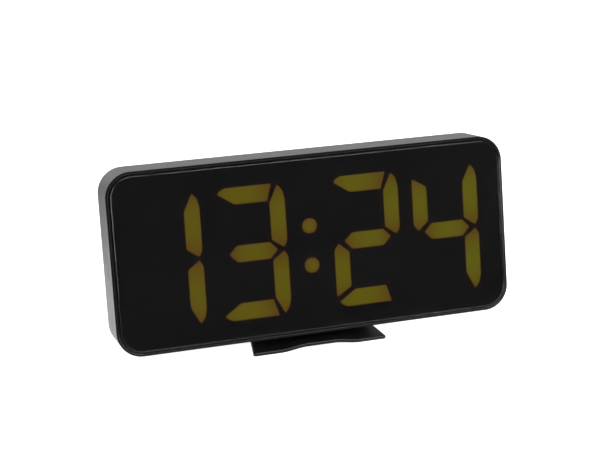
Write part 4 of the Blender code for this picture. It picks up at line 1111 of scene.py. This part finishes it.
def make_contacts():
    """Stamped contact plates with folded rims behind the cells."""
    left, right = BAY_LOW[0] + GAP, BAY_HIGH[0] - GAP - CONTACT_THICK
    top, middle, bottom = CELL_HEIGHTS
    plates = (  # node, x, lowest and highest cell
        ("terminal_negative", left, top, top),
        ("contact_link_left", left, bottom, middle),
        ("contact_link_right", right, middle, top),
        ("terminal_positive", right, bottom, bottom),
    )
    for name, x, low, high in plates:
        width, height = 2 * CONTACT_HALF, high - low + 2 * CONTACT_HALF
        centre = (CELL_DEPTH, (low + high) / 2)
        rings = []
        for inset, offset in ((0.12, 0.0), (0.0, 0.1), (0.0, 0.3), (0.12, CONTACT_THICK)):
            outline = rounded(width - 2 * inset, height - 2 * inset, 1.2, centre, 6)
            rings.append(([(x + offset, y, z) for y, z in outline], 1.0))
        place(loft(name + "_plate", rings), "contact_nickel", replaces=[name])


# ---- foot


def smoothstep(value):
    """Eased step from 0 to 1."""
    value = min(1.0, max(0.0, value))
    return value * value * (3.0 - 2.0 * value)


def crest(x, s):
    """Height of the foot's underside at x across and s back from its front edge."""
    side = smoothstep((abs(x) - CREST_HALF) / CREST_SLOPE)
    fade = smoothstep((s - CREST_END[0]) / (CREST_END[1] - CREST_END[0]))
    return FOOT_RISE * (1.0 - side) * (1.0 - fade)


def foot_outline(inset):
    """The plate seen from above, moved inwards: wide in front, small front and large rear corners."""
    slope = math.tan(FOOT_TAPER)
    side = inset / math.cos(FOOT_TAPER)
    front = FOOT_WIDTH / 2 - side - inset * slope
    back = FOOT_WIDTH / 2 - side - (FOOT_DEPTH - inset) * slope
    corners = (
        ((-front, inset), FRONT_CORNER),
        ((front, inset), FRONT_CORNER),
        ((back, FOOT_DEPTH - inset), BACK_CORNER),
        ((-back, FOOT_DEPTH - inset), BACK_CORNER),
    )
    points = []
    for index, (corner, radius) in enumerate(corners):
        radius = max(radius - inset, 0.05)
        here = Vector(corner)
        before = (Vector(corners[index - 1][0]) - here).normalized()
        after = (Vector(corners[(index + 1) % 4][0]) - here).normalized()
        half = before.angle(after) / 2
        centre = here + (before + after).normalized() * (radius / math.sin(half))
        start = here + before * (radius / math.tan(half)) - centre
        for step in range(FOOT_STEPS + 1):
            turn = (math.pi - 2 * half) * step / FOOT_STEPS
            x = start.x * math.cos(turn) - start.y * math.sin(turn)
            y = start.x * math.sin(turn) + start.y * math.cos(turn)
            points.append((centre.x + x, centre.y + y))
    return points


def foot_rings():
    """Rings of the foot's plate from its underside to its top, before the wave is raised."""
    low_round, top_round = FOOT_ROUND
    heights = [  # inset, height, how much of an edge it is
        (low_round + 0.1, 0.0, 0.0),
        (low_round, 0.0, 0.5),
        (0.06, 0.06, 1.0),
        (0.0, low_round, 0.5),
    ]
    for inset, below in quarter(top_round, 6):
        heights.append((inset, FOOT_THICK - below, 1.0))
    heights.append((top_round + 0.1, FOOT_THICK, 0.0))
    rings = []
    for inset, height, edge in heights:
        rings.append(([(x, FOOT_FRONT + s, height) for x, s in foot_outline(inset)], edge))
    return rings


def raise_wave(foot):
    """Cuts the plate into fine strips and lifts them along the wave."""
    edit = bmesh.new()
    edit.from_mesh(foot.data)
    reach = CREST_HALF + CREST_SLOPE
    cuts = [((x, 0, 0), (1, 0, 0)) for x in np.linspace(-reach, reach, 67)]
    cuts += [((0, FOOT_FRONT + s, 0), (0, 1, 0)) for s in np.linspace(2.0, 22.0, 21)]
    for spot, normal in cuts:
        geometry = edit.verts[:] + edit.edges[:] + edit.faces[:]
        bmesh.ops.bisect_plane(edit, geom=geometry, dist=1e-8, plane_co=Vector(spot) * MM, plane_no=normal)
    for vertex in edit.verts:
        vertex.co.z += crest(vertex.co.x / MM, vertex.co.y / MM - FOOT_FRONT) * MM
    edit.to_mesh(foot.data)
    edit.free()


def make_foot():
    """Thin glossy plate with the raised wave at the front, and the neck that plugs into the case."""
    foot = loft("foot_plate", foot_rings(), point=world_point)
    raise_wave(foot)
    half, front, back, bottom, top = NECK
    root_low = (-half, CASE_FRONT + 7.6, FOOT_RISE + 0.4)
    root_high = (half, CASE_FRONT + 12.8, FOOT_RISE + 1.7)
    screw_base = (0.0, NECK_MIDDLE, -8.0)
    added = [
        block("root", root_low, root_high, 0.2, point=world_point),
        block("neck", (-half, front, bottom), (half, back, top), 0.8),
    ]
    cut = [
        turned("bore", pin_profile(1.6, 14.0), screw_base, (0, 0, 1), 24),
        turned("seat", pin_profile(2.65, 8.5), screw_base, (0, 0, 1)),
    ]
    combine(foot, added, cut)
    place(foot, "foot_black", replaces=["foot"], angle=50.0)


# ---- studio


def painted_floor_light(tree, where):
    """Painted light that the floor gives out: soft pools of light by the clock, a painted shadow under it,
    fading to almost nothing in front.
    """
    bright = FLOOR_LIGHT
    for centre, reach, power in PAINTED_FLOOR_POOLS:
        offset = add(tree, "VectorMath", {0: where, 1: centre}, operation="SUBTRACT").outputs["Vector"]
        scaled = add(tree, "VectorMath", {0: offset, 1: reach}, operation="DIVIDE").outputs["Vector"]
        far = add(tree, "VectorMath", {0: scaled}, operation="LENGTH").outputs["Value"]
        near = calc(tree, "EXPONENT", calc(tree, "MULTIPLY", calc(tree, "POWER", far, 2.0), -1.0))
        bright = calc(tree, "ADD", calc(tree, "MULTIPLY", near, power), bright)
    bright = calc(tree, "MAXIMUM", bright, FLOOR_DARKEST)
    depth = add(tree, "SeparateXYZ", {"Vector": where}).outputs["Y"]
    return calc(tree, "MULTIPLY", bright, span(tree, depth, 0.05, 1.0, *FLOOR_FADE, True))


def make_floor():
    """Pale floor that the camera sees evenly lit; all other rays see painted light: pools of light and a
    painted shadow under the clock.
    """
    edit = bmesh.new()
    half = FLOOR_HALF
    corners = ((-half, -half), (half, -half), (half, half), (-half, half))
    edit.faces.new([edit.verts.new((x, y, 0.0)) for x, y in corners])
    floor = from_edit("floor", edit)
    material = bpy.data.materials.new("floor_paper")
    material.use_nodes = True
    tree = material.node_tree
    shader = tree.nodes["Principled BSDF"]
    where = add(tree, "TexCoord").outputs["Object"]
    paper = blend_colour(tree, noise(tree, where, 30.0), (0.90, 0.90, 0.90), (0.94, 0.94, 0.94))
    feed(tree, shader, {"Base Color": paper, "Roughness": 0.9, "Specular IOR Level": 0.0})
    feed(tree, shader, {"Emission Color": (1.0, 1.0, 1.0, 1.0), "Emission Strength": FLOOR_GLOW})
    # Rays other than the camera's see this painted light instead of the lit paper
    lamp = add(tree, "Emission", {"Strength": painted_floor_light(tree, where)})
    seen = add(tree, "LightPath").outputs["Is Camera Ray"]
    both = add(tree, "MixShader", {0: seen, 1: lamp.outputs[0], 2: shader.outputs[0]})
    feed(tree, tree.nodes["Material Output"], {"Surface": both.outputs[0]})
    floor.data.materials.append(material)


def make_world():
    """World that is white behind the clock and dim in front, and white where the camera sees it."""
    world = bpy.data.worlds.new("studio")
    bpy.context.scene.world = world
    world.use_nodes = True
    tree = world.node_tree
    direction = add(tree, "TexCoord").outputs["Generated"]
    parts = add(tree, "SeparateXYZ", {"Vector": direction})
    back = span(tree, parts.outputs["Y"], 0.0, 1.0, -0.2, 0.4, True)
    above = span(tree, parts.outputs["Z"], 0.0, 0.7, 0.3, 0.9, True)
    open_sky = calc(tree, "MAXIMUM", back, above)
    strength = span(tree, open_sky, WORLD_FRONT, WORLD_BACK, 0.0, 1.0)
    seen = add(tree, "LightPath").outputs["Is Camera Ray"]
    power = add(tree, "Mix", {"Factor": seen, "A": strength, "B": 1.0}, data_type="FLOAT").outputs[0]
    feed(tree, tree.nodes["Background"], {"Strength": power, "Color": (1.0, 1.0, 1.0, 1.0)})


def make_lights():
    """Soft area lights, each turned to its target."""
    for name, spot, target, size, watts in LIGHTS:
        data = bpy.data.lights.new(name, "AREA")
        data.shape = "RECTANGLE"
        data.size, data.size_y = size
        data.energy = watts
        lamp = link(bpy.data.objects.new(name, data))
        lamp.location = spot
        lamp.rotation_euler = (Vector(target) - Vector(spot)).to_track_quat("-Z", "Y").to_euler()


def make_camera():
    """Camera in front of the clock, above it and to its left, with plain colours."""
    data = bpy.data.cameras.new("camera")
    data.lens = CAMERA_LENS
    data.sensor_width = CAMERA_SENSOR
    data.shift_y = CAMERA_SHIFT
    camera = link(bpy.data.objects.new("camera", data))
    camera.location = CAMERA_SPOT
    azimuth, elevation = CAMERA_ANGLES
    camera.rotation_euler = (math.radians(90.0 - elevation), 0.0, math.radians(azimuth))
    bpy.context.scene.camera = camera
    bpy.context.scene.view_settings.view_transform = "Standard"


paint_cad_nodes()
make_lens()
make_display_film()
make_frame()
make_housing()
make_door()
for number, label in enumerate(BUTTONS):
    make_button(label, button_spot(number))
make_knob()
make_switch_marks()
make_inlet()
make_screws()
make_cells()
make_contacts()
make_foot()
make_floor()
make_world()
make_lights()
make_camera()
